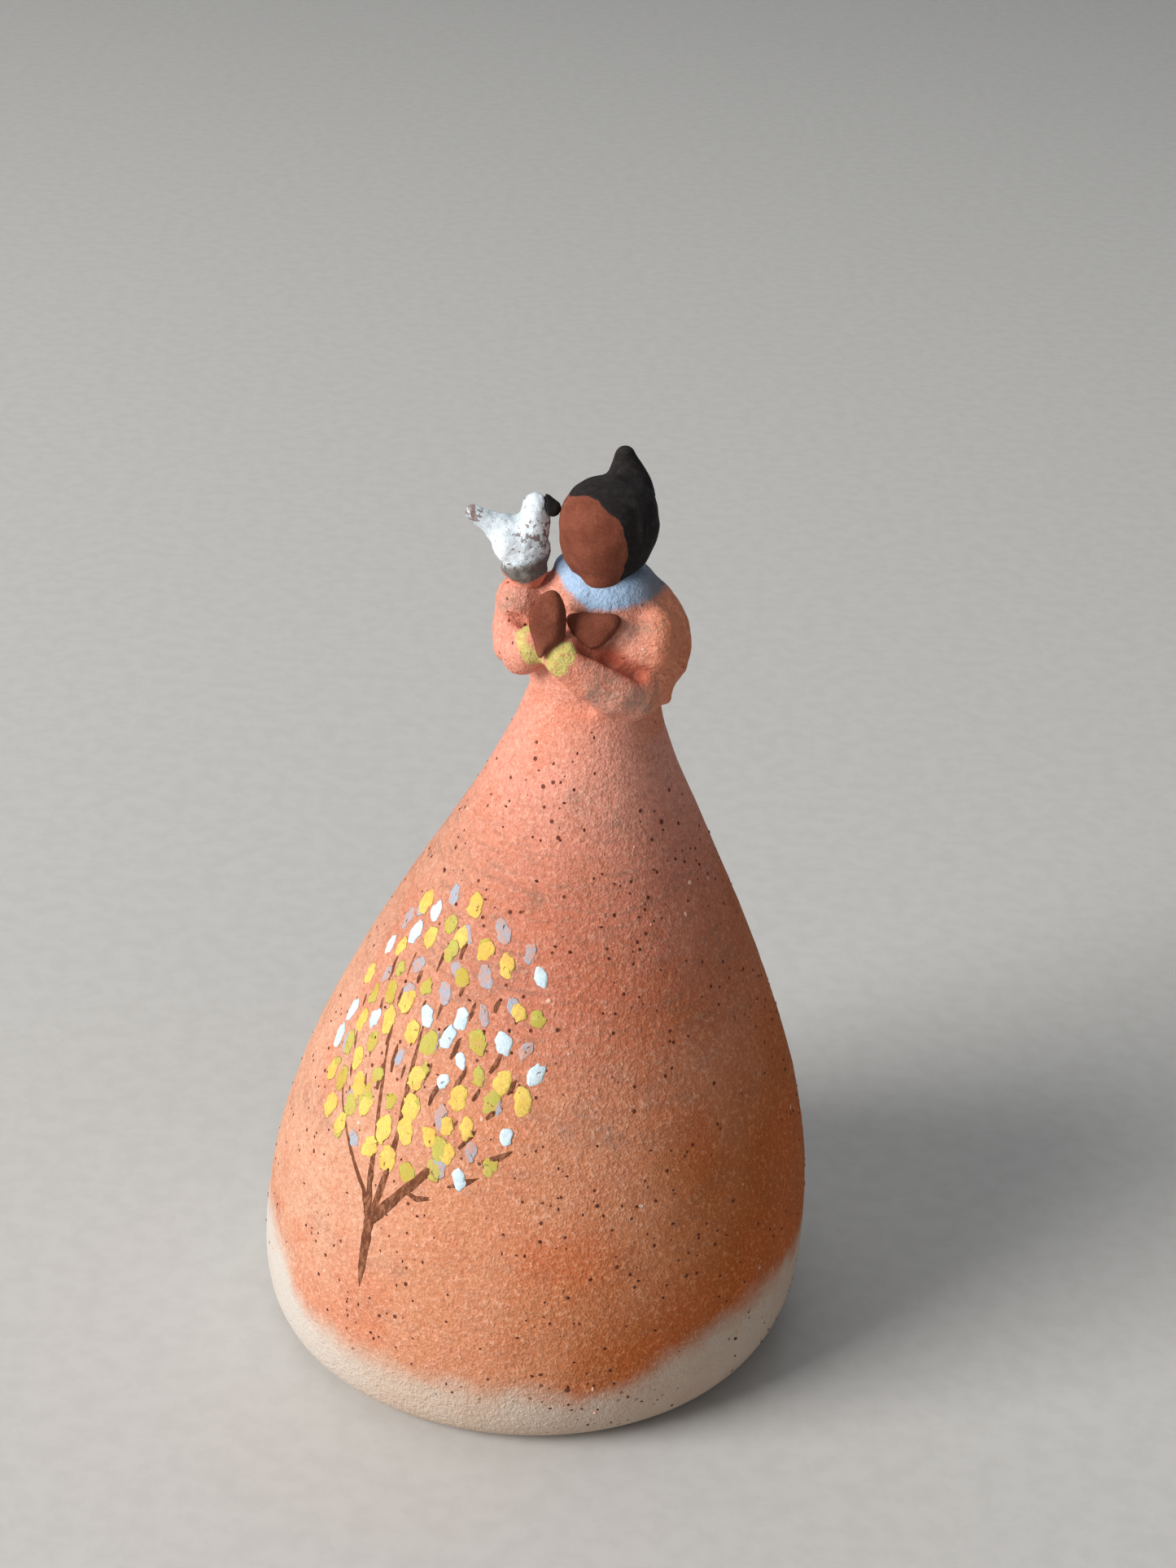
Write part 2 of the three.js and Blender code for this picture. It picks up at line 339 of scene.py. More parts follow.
@dataclass(frozen=True)
class Coral(Finish):
    """Coral slip over sandy clay, with iron specks, smudges and a bare foot, and with painted shade on the
    doll's left side and under the bust and a painted highlight on its right side.
    """

    orange: Colour = (0.60, 0.24, 0.12)
    painted_shade_umber: Colour = (0.44, 0.115, 0.018)
    highlight_salmon: Colour = (0.64, 0.37, 0.25)
    bare: Colour = (0.57, 0.465, 0.375)
    iron: Colour = (0.11, 0.024, 0.012)
    soot: Colour = (0.27, 0.165, 0.125)
    ember: Colour = (0.60, 0.15, 0.06)
    blots: float = 1.2
    side_shade: float = 0.8
    rosy: Colour = (0.70, 0.285, 0.205)
    sand_light: Colour = (0.88, 0.50, 0.37)
    grit_light: Colour = (0.86, 0.47, 0.33)
    sand_dark: Colour = (0.38, 0.11, 0.045)
    grit_dark: Colour = (0.42, 0.13, 0.055)
    bust_shadow_tint: Colour = (0.62, 0.52, 0.48)
    side_shade_tint: Colour = (0.92, 0.62, 0.20)
    bare_light: Colour = (0.76, 0.64, 0.53)
    bare_stain: Colour = (0.52, 0.36, 0.26)
    bare_highlight: Colour = (0.58, 0.57, 0.53)
    grog: Colour = (0.86, 0.62, 0.50)

    def paint(self, graph: Graph, at: Sock) -> tuple[Sock, Sock]:
        """The colour and height of the coral slip; see Finish.paint."""
        x, _, z = graph.split(at)
        broad = graph.noise(at, 0.055, 3.0, 0.55)
        mottle = graph.noise(at, 0.22, 5.0, 0.62)
        sand = graph.noise(at, 3.2, 2.0, 0.65)
        flat = graph.vector("MULTIPLY", at, (0.25, 0.25, 1.6))
        brush = graph.noise(flat, 0.9, 4.0, 0.6)
        base = graph.mix((z + (broad - 0.5) * 60).step(78, 30), self.colour, self.orange)
        # Painted shade: towards the doll's left side and lower down, away from the window lamp, the slip
        # turns darker umber; partly also the slip's browner tone there.
        shaded_side = (x * 0.95 - z * 0.38 + 24 + (broad - 0.5) * 50).step(8, 44)
        base = graph.mix(shaded_side * 0.85, base, self.painted_shade_umber)
        # Painted highlight: the doll's right side, towards the window lamp, is paler salmon.
        base = graph.mix((x - z * 0.22).step(-15.0, -36.0) * 0.7, base, self.highlight_salmon)
        base = graph.mix(mottle.step(0.42, 0.7) * 0.42, base, self.shade)
        # high marks the upper skirt band that lies in the bust's painted shadow.
        high = z.step(48.0, 66.0) * z.step(89.0, 74.0)
        base = graph.mix(z.step(72.0, 89.0), base, self.rosy)
        # Brush streaks of soot everywhere, laid on thicker in that band as painted shadow of the bust.
        base = graph.mix(brush.step(0.47, 0.68) * (high * 0.34 + 0.14), base, self.soot)
        smudge = graph.noise(graph.vector("MULTIPLY", at, (1.0, 1.0, 2.4)), 0.06, 4.0, 0.6)
        smudge = smudge.step(0.50, 0.70) * graph.noise(at, 0.45, 4.0, 0.7).step(0.36, 0.66)
        base = graph.mix(smudge * 0.55, base, self.soot)
        patch = graph.noise(at, 0.05, 4.0, 0.65)
        base = graph.mix(patch.step(0.50, 0.66) * 0.40, base, self.ember)
        coarse = graph.noise(at, 1.35, 3.0, 0.65)
        base = graph.mix(sand.step(0.52, 0.72) * 0.45, base, self.sand_light)
        base = graph.mix(coarse.step(0.53, 0.68) * 0.48, base, self.grit_light)
        base = graph.mix(sand.step(0.47, 0.30) * 0.36, base, self.sand_dark)
        base = graph.mix(coarse.step(0.47, 0.33) * 0.42, base, self.grit_dark)
        # Painted shadow of the bust: the upper band is multiplied darker.
        base = graph.mix(high * 0.30, base, graph.vector("MULTIPLY", base, self.bust_shadow_tint))
        # Painted shade: the same side is multiplied browner and darker.
        side_shade = graph.vector("MULTIPLY", base, self.side_shade_tint)
        base = graph.mix(shaded_side * self.side_shade, base, side_shade)
        edge = z + (graph.noise(at, 0.07, 2.0, 0.5) - 0.5) * 5 + (brush - 0.5) * 3
        edge = edge - x.step(10.0, 30.0) * 6.4 - x.step(-29.0, -37.0) * 7.0
        foot = (edge + (mottle - 0.5) * 4).step(14.0, 8.0)
        clay = graph.mix(sand.step(0.5, 0.75) * 0.35, self.bare, self.bare_light)
        clay = graph.mix(mottle.step(0.4, 0.7) * 0.4, clay, self.bare_stain)
        # Painted highlight: the bare foot turns paler and greyer on the doll's right side, towards the window
        # lamp.
        clay = graph.mix(x.step(-16.0, -34.0) * 0.75, clay, self.bare_highlight)
        base = graph.mix(foot * 0.92, base, clay)
        cluster = graph.noise(at, 0.075, 2.0, 0.5).step(0.42, 0.66) * 0.44 + 0.05
        specks = graph.dots(at, 1.15, 0.34, cluster)
        blots = graph.dots(at, 4.2, 0.5, cluster * self.blots)
        rust = specks.fold("MAXIMUM", blots) * (foot * -0.55 + 1)
        base = graph.mix(rust * 0.92, base, self.iron)
        pale = graph.dots(graph.vector("ADD", at, (37.0, 11.0, 5.0)), 3.4, 0.36, 0.10)
        base = graph.mix(pale * 0.75, base, self.grog)
        base = self.overlay(graph, at, base)
        height = sand * 0.13 + coarse * 0.34 + mottle * 0.12 + brush * 0.06 - rust * 0.10 + pale * 0.12
        return base, height

    def overlay(self, graph: Graph, at: Sock, base: Sock) -> Sock:
        """Paint that lies over the coral; none on the skirt.

        Args:
            graph: The material's graph.
            at: The place, in millimetres.
            base: The coral colour.

        Returns:
            The colour with the paint.
        """
        return base


@dataclass(frozen=True)
class Dress(Coral):
    """The coral slip of the bodice and sleeves, with the painted collar and cuffs, and painted shade in the
    creases and on the doll's left side.
    """

    collar: Colour = (0.31, 0.50, 0.72)
    collar_shade: Colour = (0.14, 0.13, 0.13)
    cuff: Colour = (0.50, 0.45, 0.11)
    cuff_light: Colour = (0.62, 0.55, 0.22)
    # fold is the darker red of painted shade in the creases.
    fold: Colour = (0.50, 0.085, 0.035)
    stain: Colour = (0.31, 0.235, 0.19)
    collar_worn: Colour = (0.50, 0.58, 0.68)
    collar_bare: Colour = (0.42, 0.24, 0.22)
    shaded_side_tint: Colour = (1.0, 0.80, 0.55)
    cuff_places: tuple[tuple[Vector, Vector, float], ...] = ()
    crease_shading: tuple[tuple[Vector, Vector, float], ...] = ()
    stains: tuple[tuple[Vector, Vector, float], ...] = ()
    neck: Vector = field(default_factory=lambda: Vector((0, 0, 0)))

    def overlay(self, graph: Graph, at: Sock, base: Sock) -> Sock:
        """The collar, the cuffs, the redder folds of painted shade and painted shade on the doll's left side;
        see Coral.overlay.
        """
        ragged = (graph.noise(at, 0.8, 4.0, 0.65) - 0.5) * 1.5
        # Painted shade: the slip is darker red along the pressed creases.
        for start, end, radius in self.crease_shading:
            away = graph.off_line(at, start, end) + ragged * 0.5
            base = graph.mix(away.step(radius, 0.0) * 0.85, base, self.fold)
        patchy = graph.noise(at, 0.55, 4.0, 0.7).step(0.36, 0.60)
        for start, end, radius in self.stains:
            away = graph.off_line(at, start, end) + ragged * 1.2
            base = graph.mix(away.step(radius, 0.5) * patchy * 0.62, base, self.stain)
        reach = graph.vector("SUBTRACT", at, tuple(self.neck / MM))
        x, _, z = graph.split(reach)
        aside = x + 1.7
        rise = aside.fold("MAXIMUM", 0.0) * 0.09 - aside.fold("MINIMUM", 0.0) * 0.6
        drop = z - rise + ragged * 0.7
        skin = graph.noise(at, 2.6, 3.0, 0.7)
        blue = graph.mix(skin.step(0.42, 0.7) * 0.6, self.collar, self.collar_worn)
        # Painted shade: the collar is darker grey on the doll's left, away from the window lamp.
        blue = graph.mix(x.step(2.5, 6.5) * 0.8, blue, self.collar_shade)
        blue = graph.mix(skin.step(0.46, 0.32) * 0.4, blue, self.collar_bare)
        base = graph.mix(drop.step(-0.6, 0.5) * 0.95, base, blue)
        # Painted shade: below the collar, on the doll's left side, the slip is multiplied browner.
        ember = graph.vector("MULTIPLY", base, self.shaded_side_tint)
        base = graph.mix(x.step(3.0, 10.0) * (drop.step(0.5, -0.6) * 0.75), base, ember)
        streak = graph.noise(at, 1.7, 4.0, 0.7)
        for start, end, radius in self.cuff_places:
            gap = graph.off_line(at, start, end)
            mask = (gap + ragged * 0.35).step(radius, radius - 0.45) * streak.step(0.34, 0.50)
            tone = graph.mix(streak.step(0.45, 0.7), self.cuff, self.cuff_light)
            base = graph.mix(mask * 0.92, base, tone)
        return base


@dataclass(frozen=True)
class Head(Finish):
    """Brown slip on the face, black slip where the hair is painted on."""

    hair: Colour = (0.010, 0.007, 0.007)
    hair_light: Colour = (0.034, 0.027, 0.027)
    speckle: Colour = (0.62, 0.34, 0.22)
    centre: Vector = field(default_factory=lambda: Vector((0, 0, 0)))
    look: Vector = field(default_factory=lambda: Vector((0, -1, 0)))

    def paint(self, graph: Graph, at: Sock) -> tuple[Sock, Sock]:
        """The colour and height of the painted head; see Finish.paint."""
        base, height = super().paint(graph, at)
        side = Vector((-self.look.y, self.look.x, 0))
        reach = graph.vector("SUBTRACT", at, tuple(self.centre / MM))
        ahead, across = (graph.number("DOT_PRODUCT", reach, tuple(d)) for d in (self.look, side))
        up = graph.split(reach)[2]
        wave = (graph.noise(at, 0.5, 3.0, 0.55) - 0.5) * 0.9
        lock = self.centre + self.look * 3.8 * MM + side * 2.5 * MM
        lock = graph.vector("SUBTRACT", at, tuple(lock / MM))
        lock = graph.length(graph.vector("SUBTRACT", lock, (0.0, 0.0, 4.6)))
        temple = (across * -1.0 - 3.4).fold("MAXIMUM", 0.0) * 1.3
        edge = ahead - up * 0.2 - across * 0.06 + wave - lock.step(2.2, 0.4) * 0.5 + temple
        hair = edge.step(2.35, 2.15)
        soot = graph.mix(graph.noise(at, 1.2, 3.0, 0.6).step(0.4, 0.7) * 0.5, self.hair, self.hair_light)
        grains = graph.dots(at, 0.9, 0.13, 0.16)
        base = graph.mix(grains * 0.5, base, self.speckle)
        return graph.mix(hair, base, soot), height + hair * 0.08


@dataclass(frozen=True)
class Bird(Finish):
    """White slip worn through to the dark clay, with a grey wash round the foot."""

    clay: Colour = (0.17, 0.07, 0.045)
    wash: Colour = (0.075, 0.058, 0.046)
    wash_light: Colour = (0.19, 0.155, 0.125)
    coral: Colour = (0.58, 0.22, 0.15)
    foot: Vector = field(default_factory=lambda: Vector((0, 0, 0)))
    chest: Vector = field(default_factory=lambda: Vector((0, 0, 0)))
    tail: Vector = field(default_factory=lambda: Vector((0, 0, 0)))

    def paint(self, graph: Graph, at: Sock) -> tuple[Sock, Sock]:
        """The colour and height of the bird's slip; see Finish.paint."""
        base, height = super().paint(graph, at)
        worn = graph.noise(at, 1.15, 5.0, 0.72)
        chest = graph.length(graph.vector("SUBTRACT", at, tuple(self.chest / MM))).step(5.4, 0.5)
        tail = graph.length(graph.vector("SUBTRACT", at, tuple(self.tail / MM))).step(3.4, 0.2)
        bare = (worn + chest * 0.10 + tail * 0.19).step(0.585, 0.67)
        base = graph.mix(bare * 0.85, base, self.clay)
        base = graph.mix(graph.dots(at, 0.8, 0.13, 0.2) * 0.8, base, self.clay)
        x, _, z = graph.split(at)
        aside = x - self.foot.x / MM
        above = z - self.foot.z / MM
        wash = (above - aside * 0.30 + (worn - 0.5) * 2.8).step(3.3, 2.2)
        base = graph.mix(wash * 0.93, base, graph.mix(worn.step(0.4, 0.65), self.wash, self.wash_light))
        seat = above - aside.fold("ABSOLUTE") * 0.45 + (worn - 0.5) * 1.2
        base = graph.mix(seat.step(0.0, -0.35), base, self.coral)
        return base, height - bare * 0.06


@dataclass(frozen=True)
class Daub(Finish):
    """Slip dabbed on with a brush, thin enough for the coral to show through."""

    thin: float = 0.35
    under: Colour = (0.64, 0.29, 0.16)

    def paint(self, graph: Graph, at: Sock) -> tuple[Sock, Sock]:
        """The colour and height of the daubed slip; see Finish.paint."""
        base, height = super().paint(graph, at)
        drag = graph.noise(graph.vector("MULTIPLY", at, (1.0, 1.0, 0.4)), 1.7, 4.0, 0.7)
        base = graph.mix(drag.step(0.46, 0.66) * self.thin, base, self.under)
        return base, height + drag * 0.10


class Clay(Enum):
    """The plain finishes, by the piece or paint they are for."""

    BROWN = Finish("brown_slip", "brown_slip", (0.205, 0.060, 0.032), (0.150, 0.037, 0.018), 0.14, 0.10)
    BLACK = Finish("black_slip", "black_slip", (0.013, 0.010, 0.010), (0.026, 0.021, 0.022), 0.10, 0.08, 0.82)
    BARK = Daub("bark_brown", "bark_brown", (0.150, 0.046, 0.018), (0.10, 0.030, 0.012), thin=0.35)
    YELLOW = Daub("leaf_yellow", "leaf_yellow", (0.74, 0.54, 0.125), (0.68, 0.44, 0.085), thin=0.38)
    GREEN = Daub("leaf_green", "leaf_green", (0.45, 0.43, 0.095), (0.48, 0.36, 0.055), thin=0.42)
    HAZE = Daub("haze_lavender", "haze_lavender", (0.34, 0.39, 0.47), (0.42, 0.31, 0.31), thin=0.8)
    BLOSSOM = Daub("blossom_white", "blossom_white", (0.64, 0.77, 0.82), (0.50, 0.66, 0.74), thin=0.25)


# ---- making meshes


def mesh_object(name: str, mesh: bpy.types.Mesh) -> bpy.types.Object:
    """A new object at the origin that shows a mesh.

    Args:
        name: The object's name.
        mesh: Its mesh.

    Returns:
        The object, in the scene.
    """
    made = bpy.data.objects.new(name, mesh)
    bpy.context.scene.collection.objects.link(made)
    return made


def from_bmesh(name: str, bm: bmesh.types.BMesh) -> bpy.types.Object:
    """A bmesh as an object; the bmesh is freed."""
    mesh = bpy.data.meshes.new(name)
    bm.to_mesh(mesh)
    bm.free()
    return mesh_object(name, mesh)


def settle(made: bpy.types.Object) -> bpy.types.Object:
    """Turns an object's live modifiers into its plain mesh.

    Args:
        made: The object.

    Returns:
        The same object, with no modifiers.
    """
    bpy.context.view_layer.update()
    seen = made.evaluated_get(bpy.context.evaluated_depsgraph_get())
    mesh = bpy.data.meshes.new_from_object(seen)
    made.modifiers.clear()
    made.data = mesh
    return made


def stack(made: bpy.types.Object, *steps: tuple[str, Mapping[str, object]]) -> bpy.types.Object:
    """Puts modifiers on an object in order and settles it.

    Args:
        made: The object.
        steps: Each modifier's type and settings.

    Returns:
        The same object.
    """
    for kind, settings in steps:
        modifier = made.modifiers.new(kind.lower(), kind)
        for key, value in settings.items():
            setattr(modifier, key, value)
    return settle(made)


def sweep(made: bpy.types.Object, move: Callable[[Vector, Vector], Vector]) -> None:
    """Moves every point of a mesh.

    Args:
        made: The object.
        move: Gives a point's new place from its place and normal.
    """
    mesh = made.data
    places = [move(v.co.copy(), v.normal.copy()) for v in mesh.vertices]
    for vertex, place in zip(mesh.vertices, places):
        vertex.co = place
    mesh.update()


def finish_piece(made: bpy.types.Object, finish: Finish, *nodes: str) -> bpy.types.Object:
    """Gives a piece its finish and body, and hides the CAD nodes that it stands for.

    Args:
        made: The piece.
        finish: Its finish.
        nodes: The CAD nodes that it replaces.

    Returns:
        The piece.
    """
    made.data.materials.clear()
    made.data.materials.append(finish.material())
    made.data.shade_smooth()
    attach(made, ROOT)
    if nodes:
        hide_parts(*nodes)
    LOG.info("%s: %d faces", made.name, len(made.data.polygons))
    return made


def cad_copy(nodes: Iterable[str]) -> bmesh.types.BMesh:
    """Copies of CAD nodes with their shared points merged.

    Args:
        nodes: The nodes' names.

    Returns:
        One bmesh that holds them all.
    """
    bm = bmesh.new()
    for node in nodes:
        bm.from_mesh(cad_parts[node].data)
    bmesh.ops.remove_doubles(bm, verts=bm.verts, dist=0.002 * MM)
    return bm


def smear(name: str, bm: bmesh.types.BMesh, join: float, grain: float, soft: int) -> bpy.types.Object:
    """Joins lumps as wet clay is joined: the creases between them fill and soften.

    Args:
        name: The object's name.
        bm: The lumps; it is freed.
        join: How wide a crease is filled, in metres.
        grain: The size of the new faces.
        soft: How many times the surface is smoothed.

    Returns:
        One closed object.
    """
    voxels = {"mode": "VOXEL", "voxel_size": grain}
    return stack(
        from_bmesh(name, bm),
        ("REMESH", voxels),
        ("DISPLACE", {"strength": join, "mid_level": 0.0}),
        ("REMESH", voxels),
        ("SMOOTH", {"factor": 0.5, "iterations": soft}),
        ("DISPLACE", {"strength": -join, "mid_level": 0.0}),
        ("SMOOTH", {"factor": 0.5, "iterations": 2}),
    )


def share_out(joined: bpy.types.Object, nodes: Sequence[str], wall: float) -> dict[str, bpy.types.Object]:
    """Cuts a joined skin back into its lumps, each a closed shell that meets the next.

    Args:
        joined: The joined object, which is removed.
        nodes: The CAD nodes of the lumps; each face goes to the nearest one.
        wall: The shells' thickness.

    Returns:
        A piece for each node.
    """
    trees = []
    for node in nodes:
        bm = cad_copy([node])
        trees.append(BVHTree.FromBMesh(bm))
        bm.free()
    mesh = joined.data
    owner = [min(range(len(nodes)), key=lambda k: trees[k].find_nearest(f.center)[3]) for f in mesh.polygons]
    pieces = {}
    for k, node in enumerate(nodes):
        bm = bmesh.new()
        bm.from_mesh(mesh)
        bm.faces.ensure_lookup_table()
        others = [f for f in bm.faces if owner[f.index] != k]
        bmesh.ops.delete(bm, geom=others, context="FACES")
        for edge in bm.edges:
            edge.smooth = not edge.is_boundary
        piece = from_bmesh(node + "_skin", bm)
        pieces[node] = stack(piece, ("SOLIDIFY", {"thickness": wall, "offset": -1.0}))
    bpy.data.objects.remove(joined)
    return pieces


class Gauge:
    """Measures how far a surface stands from the doll's leaning middle line."""

    def __init__(self, mesh: bpy.types.Mesh) -> None:
        """Reads the mesh's triangles."""
        bm = bmesh.new()
        bm.from_mesh(mesh)
        self.tree = BVHTree.FromBMesh(bm)
        bm.free()

    def touch(self, angle: float, z: float) -> tuple[Vector, Vector]:
        """The outside of the surface in one direction.

        Args:
            angle: The direction from the middle line, in radians from the front towards the doll's left.
            z: The height, in metres.

        Returns:
            The place and the surface's outward normal there.
        """
        out = Vector((math.sin(angle), -math.cos(angle), 0))
        start = Vector((column(z), 0, z)) + out * 0.1
        place, normal, _, _ = self.tree.ray_cast(start, -out)
        if place is None:
            raise ValueError(f"nothing at {math.degrees(angle):.0f} degrees and {z / MM:.1f} mm")
        return place, normal


# ---- geometry-node trees


class GeoGraph(Graph):
    """A geometry-nodes tree with named inputs."""

    def __init__(self, name: str, inputs: Mapping[str, str]) -> None:
        """Starts a tree.

        Args:
            name: The tree's name.
            inputs: The socket type of each named input.
        """
        super().__init__(bpy.data.node_groups.new(name, "GeometryNodeTree"))
        face = self.tree.interface
        face.new_socket("Geometry", in_out="INPUT", socket_type="NodeSocketGeometry")
        self.keys = {
            label: face.new_socket(label, in_out="INPUT", socket_type=kind).identifier
            for label, kind in inputs.items()
        }
        face.new_socket("Geometry", in_out="OUTPUT", socket_type="NodeSocketGeometry")
        self.given = self.node("NodeGroupInput")

    def close(self, shape: Sock, finish: Sock) -> None:
        """Ends the tree in Realize Instances and Set Material.

        Args:
            shape: The geometry.
            finish: The material input.
        """
        real = self.node("GeometryNodeRealizeInstances", {0: shape})
        soft = self.node("GeometryNodeSetShadeSmooth", {0: real})
        done = self.node("GeometryNodeSetMaterial", {"Geometry": soft, "Material": finish})
        self.node("NodeGroupOutput", {0: done})

    def grow(self, made: bpy.types.Object, values: Mapping[str, object]) -> bpy.types.Object:
        """Runs the tree on an object and keeps the plain mesh.

        Args:
            made: The object.
            values: What each named input gets.

        Returns:
            The same object, with the result as its mesh.
        """
        modifier = made.modifiers.new(self.tree.name, "NODES")
        modifier.node_group = self.tree
        for label, value in values.items():
            modifier[self.keys[label]] = value
        settle(made)
        sheet = bmesh.new()
        sheet.from_mesh(made.data)
        bmesh.ops.recalc_face_normals(sheet, faces=sheet.faces)
        sheet.to_mesh(made.data)
        sheet.free()
        return made


def turning_tree() -> GeoGraph:
    """A tree that turns a closed outline into a leaning, slightly uneven, hollow vessel."""
    g = GeoGraph(
        "turned_by_hand",
        {
            "Columns": "NodeSocketInt",
            "Rows": "NodeSocketInt",
            "Lean": "NodeSocketFloat",
            "Pivot": "NodeSocketFloat",
            "Unevenness": "NodeSocketFloat",
            "Finish": "NodeSocketMaterial",
        },
    )
    given = g.given
    line = g.node("GeometryNodeMeshToCurve", {0: given.out("Geometry")})
    line = g.node("GeometryNodeCurveSplineType", {0: line}, spline_type="CATMULL_ROM")
    sheet = g.node(
        "GeometryNodeMeshGrid",
        {0: 1.0, 1: 1.0, 2: given.out("Columns") + 1, 3: given.out("Rows") + 1},
    )
    round_, along, _ = g.split(g.node("GeometryNodeInputPosition"))
    turn = (round_ + 0.5) * math.tau
    sample = g.node("GeometryNodeSampleCurve", {"Curves": line, "Factor": along + 0.5}, mode="FACTOR")
    radius, _, z = g.split(sample.out("Position"))
    z = z.fold("MAXIMUM", 0.0)
    east, south = turn.fold("SINE"), turn.fold("COSINE") * -1.0
    around = g.join(east, south, z * 30.0)
    lumps = g.noise(around, 1.1, 1.0, 0.5) - 0.5
    marks = g.noise(g.vector("MULTIPLY", around, (1.0, 1.0, 3.0)), 5.0, 2.0, 0.5) - 0.5
    held = z.step(0.0, 10 * MM) * z.step(90 * MM, 78 * MM)
    radius = radius + (lumps * 2.4 + marks * 0.5) * held * given.out("Unevenness")
    x = east * radius + (z - given.out("Pivot")) * given.out("Lean")
    place = g.join(x, south * radius, z)
    shape = g.node("GeometryNodeSetPosition", {"Geometry": sheet, "Position": place})
    shape = g.node("GeometryNodeMergeByDistance", {"Geometry": shape, "Distance": 0.01 * MM})
    g.close(shape, given.out("Finish"))
    return g


def daub_tree() -> GeoGraph:
    """A tree that puts one uneven daub of slip on each point, lying on the surface there."""
    g = GeoGraph(
        "daubs",
        {
            "Thickness": "NodeSocketFloat",
            "Ragged": "NodeSocketFloat",
            "Finish": "NodeSocketMaterial",
        },
    )
    given = g.given
    drop = g.node("GeometryNodeMeshUVSphere", {"Segments": 20, "Rings": 8, "Radius": 1.0})
    named = {
        label: g.node("GeometryNodeInputNamedAttribute", {"Name": label}, data_type="FLOAT_VECTOR")
        for label in ("lift", "up", "spread")
    }
    turned = g.node(
        "FunctionNodeAxesToRotation",
        {0: named["lift"], 1: named["up"]},
        primary_axis="Z",
        secondary_axis="Y",
    )
    broad, long, _ = g.split(named["spread"])
    size = g.join(broad, long, given.out("Thickness"))
    many = g.node(
        "GeometryNodeInstanceOnPoints",
        {"Points": given.out("Geometry"), "Instance": drop, "Rotation": turned, "Scale": size},
    )
    many = g.node("GeometryNodeRealizeInstances", {0: many})
    at = g.vector("MULTIPLY", g.node("GeometryNodeInputPosition"), (1 / MM,) * 3)
    wild = g.node("ShaderNodeTexNoise", {"Vector": at, "Scale": 1.15, "Detail": 3.0})
    push = g.vector("SUBTRACT", wild.out("Color"), (0.5, 0.5, 0.5))
    push = g.scale(push, given.out("Ragged"))
    push = g.vector("SUBTRACT", push, g.vector("PROJECT", push, named["lift"]))
    many = g.node("GeometryNodeSetPosition", {"Geometry": many, "Offset": push})
    g.close(many, given.out("Finish"))
    return g


def stroke_tree() -> GeoGraph:
    """A tree that draws a brush line along each chain of edges, flat to the surface."""
    g = GeoGraph("strokes", {"Flatness": "NodeSocketFloat", "Finish": "NodeSocketMaterial"})
    given = g.given
    line = g.node("GeometryNodeMeshToCurve", {0: given.out("Geometry")})
    normal = g.node("GeometryNodeInputNamedAttribute", {"Name": "lift"}, data_type="FLOAT_VECTOR")
    width = g.node("GeometryNodeInputNamedAttribute", {"Name": "breadth"}, data_type="FLOAT")
    line = g.node("GeometryNodeSetCurveNormal", {0: line, "Normal": normal}, mode="FREE")
    round_ = g.node("GeometryNodeCurvePrimitiveCircle", {"Resolution": 14, "Radius": 1.0})
    squash = g.join(given.out("Flatness"), 1.0, 1.0)
    round_ = g.node("GeometryNodeTransform", {"Geometry": round_, "Scale": squash})
    ink = g.node(
        "GeometryNodeCurveToMesh",
        {"Curve": line, "Profile Curve": round_, "Scale": width, "Fill Caps": True},
    )
    g.close(ink, given.out("Finish"))
    return g


def grain_tree() -> GeoGraph:
    """A tree that strews grains over a surface, half sunk in it, in loose clusters."""
    g = GeoGraph(
        "grains",
        {
            "Density": "NodeSocketFloat",
            "Size": "NodeSocketFloat",
            "Lowest": "NodeSocketFloat",
            "Seed": "NodeSocketInt",
            "Finish": "NodeSocketMaterial",
        },
    )
    given = g.given
    spot_ = g.node("GeometryNodeInputPosition")
    at = g.vector("MULTIPLY", spot_, (1 / MM,) * 3)
    z = g.split(spot_)[2]
    normal = g.node("GeometryNodeInputNormal")
    outward = g.number("DOT_PRODUCT", normal, g.vector("MULTIPLY", spot_, (1.0, 1.0, 0.0)))
    clusters = g.noise(at, 0.075, 2.0, 0.5).step(0.40, 0.66) + 0.12
    outside = outward.fold("GREATER_THAN", 0.0) * (z - given.out("Lowest")).fold("GREATER_THAN", 0.0)
    points = g.node(
        "GeometryNodeDistributePointsOnFaces",
        {
            "Mesh": given.out("Geometry"),
            "Density": clusters * outside * given.out("Density"),
            "Seed": given.out("Seed"),
        },
        distribute_method="RANDOM",
    )
    grit = g.node("GeometryNodeMeshIcoSphere", {"Radius": 1.0, "Subdivisions": 2})
    span = g.node(
        "FunctionNodeRandomValue",
        {"Min": (0.35, 0.35, 0.22), "Max": (1.0, 1.0, 0.45), "Seed": given.out("Seed")},
        data_type="FLOAT_VECTOR",
    )
    span = g.scale(span, given.out("Size"))
    many = g.node(
        "GeometryNodeInstanceOnPoints",
        {
            "Points": points.out("Points"),
            "Instance": grit,
            "Rotation": points.out("Rotation"),
            "Scale": span,
        },
    )
    g.close(many, given.out("Finish"))
    return g


# ---- the doll's sub-assemblies


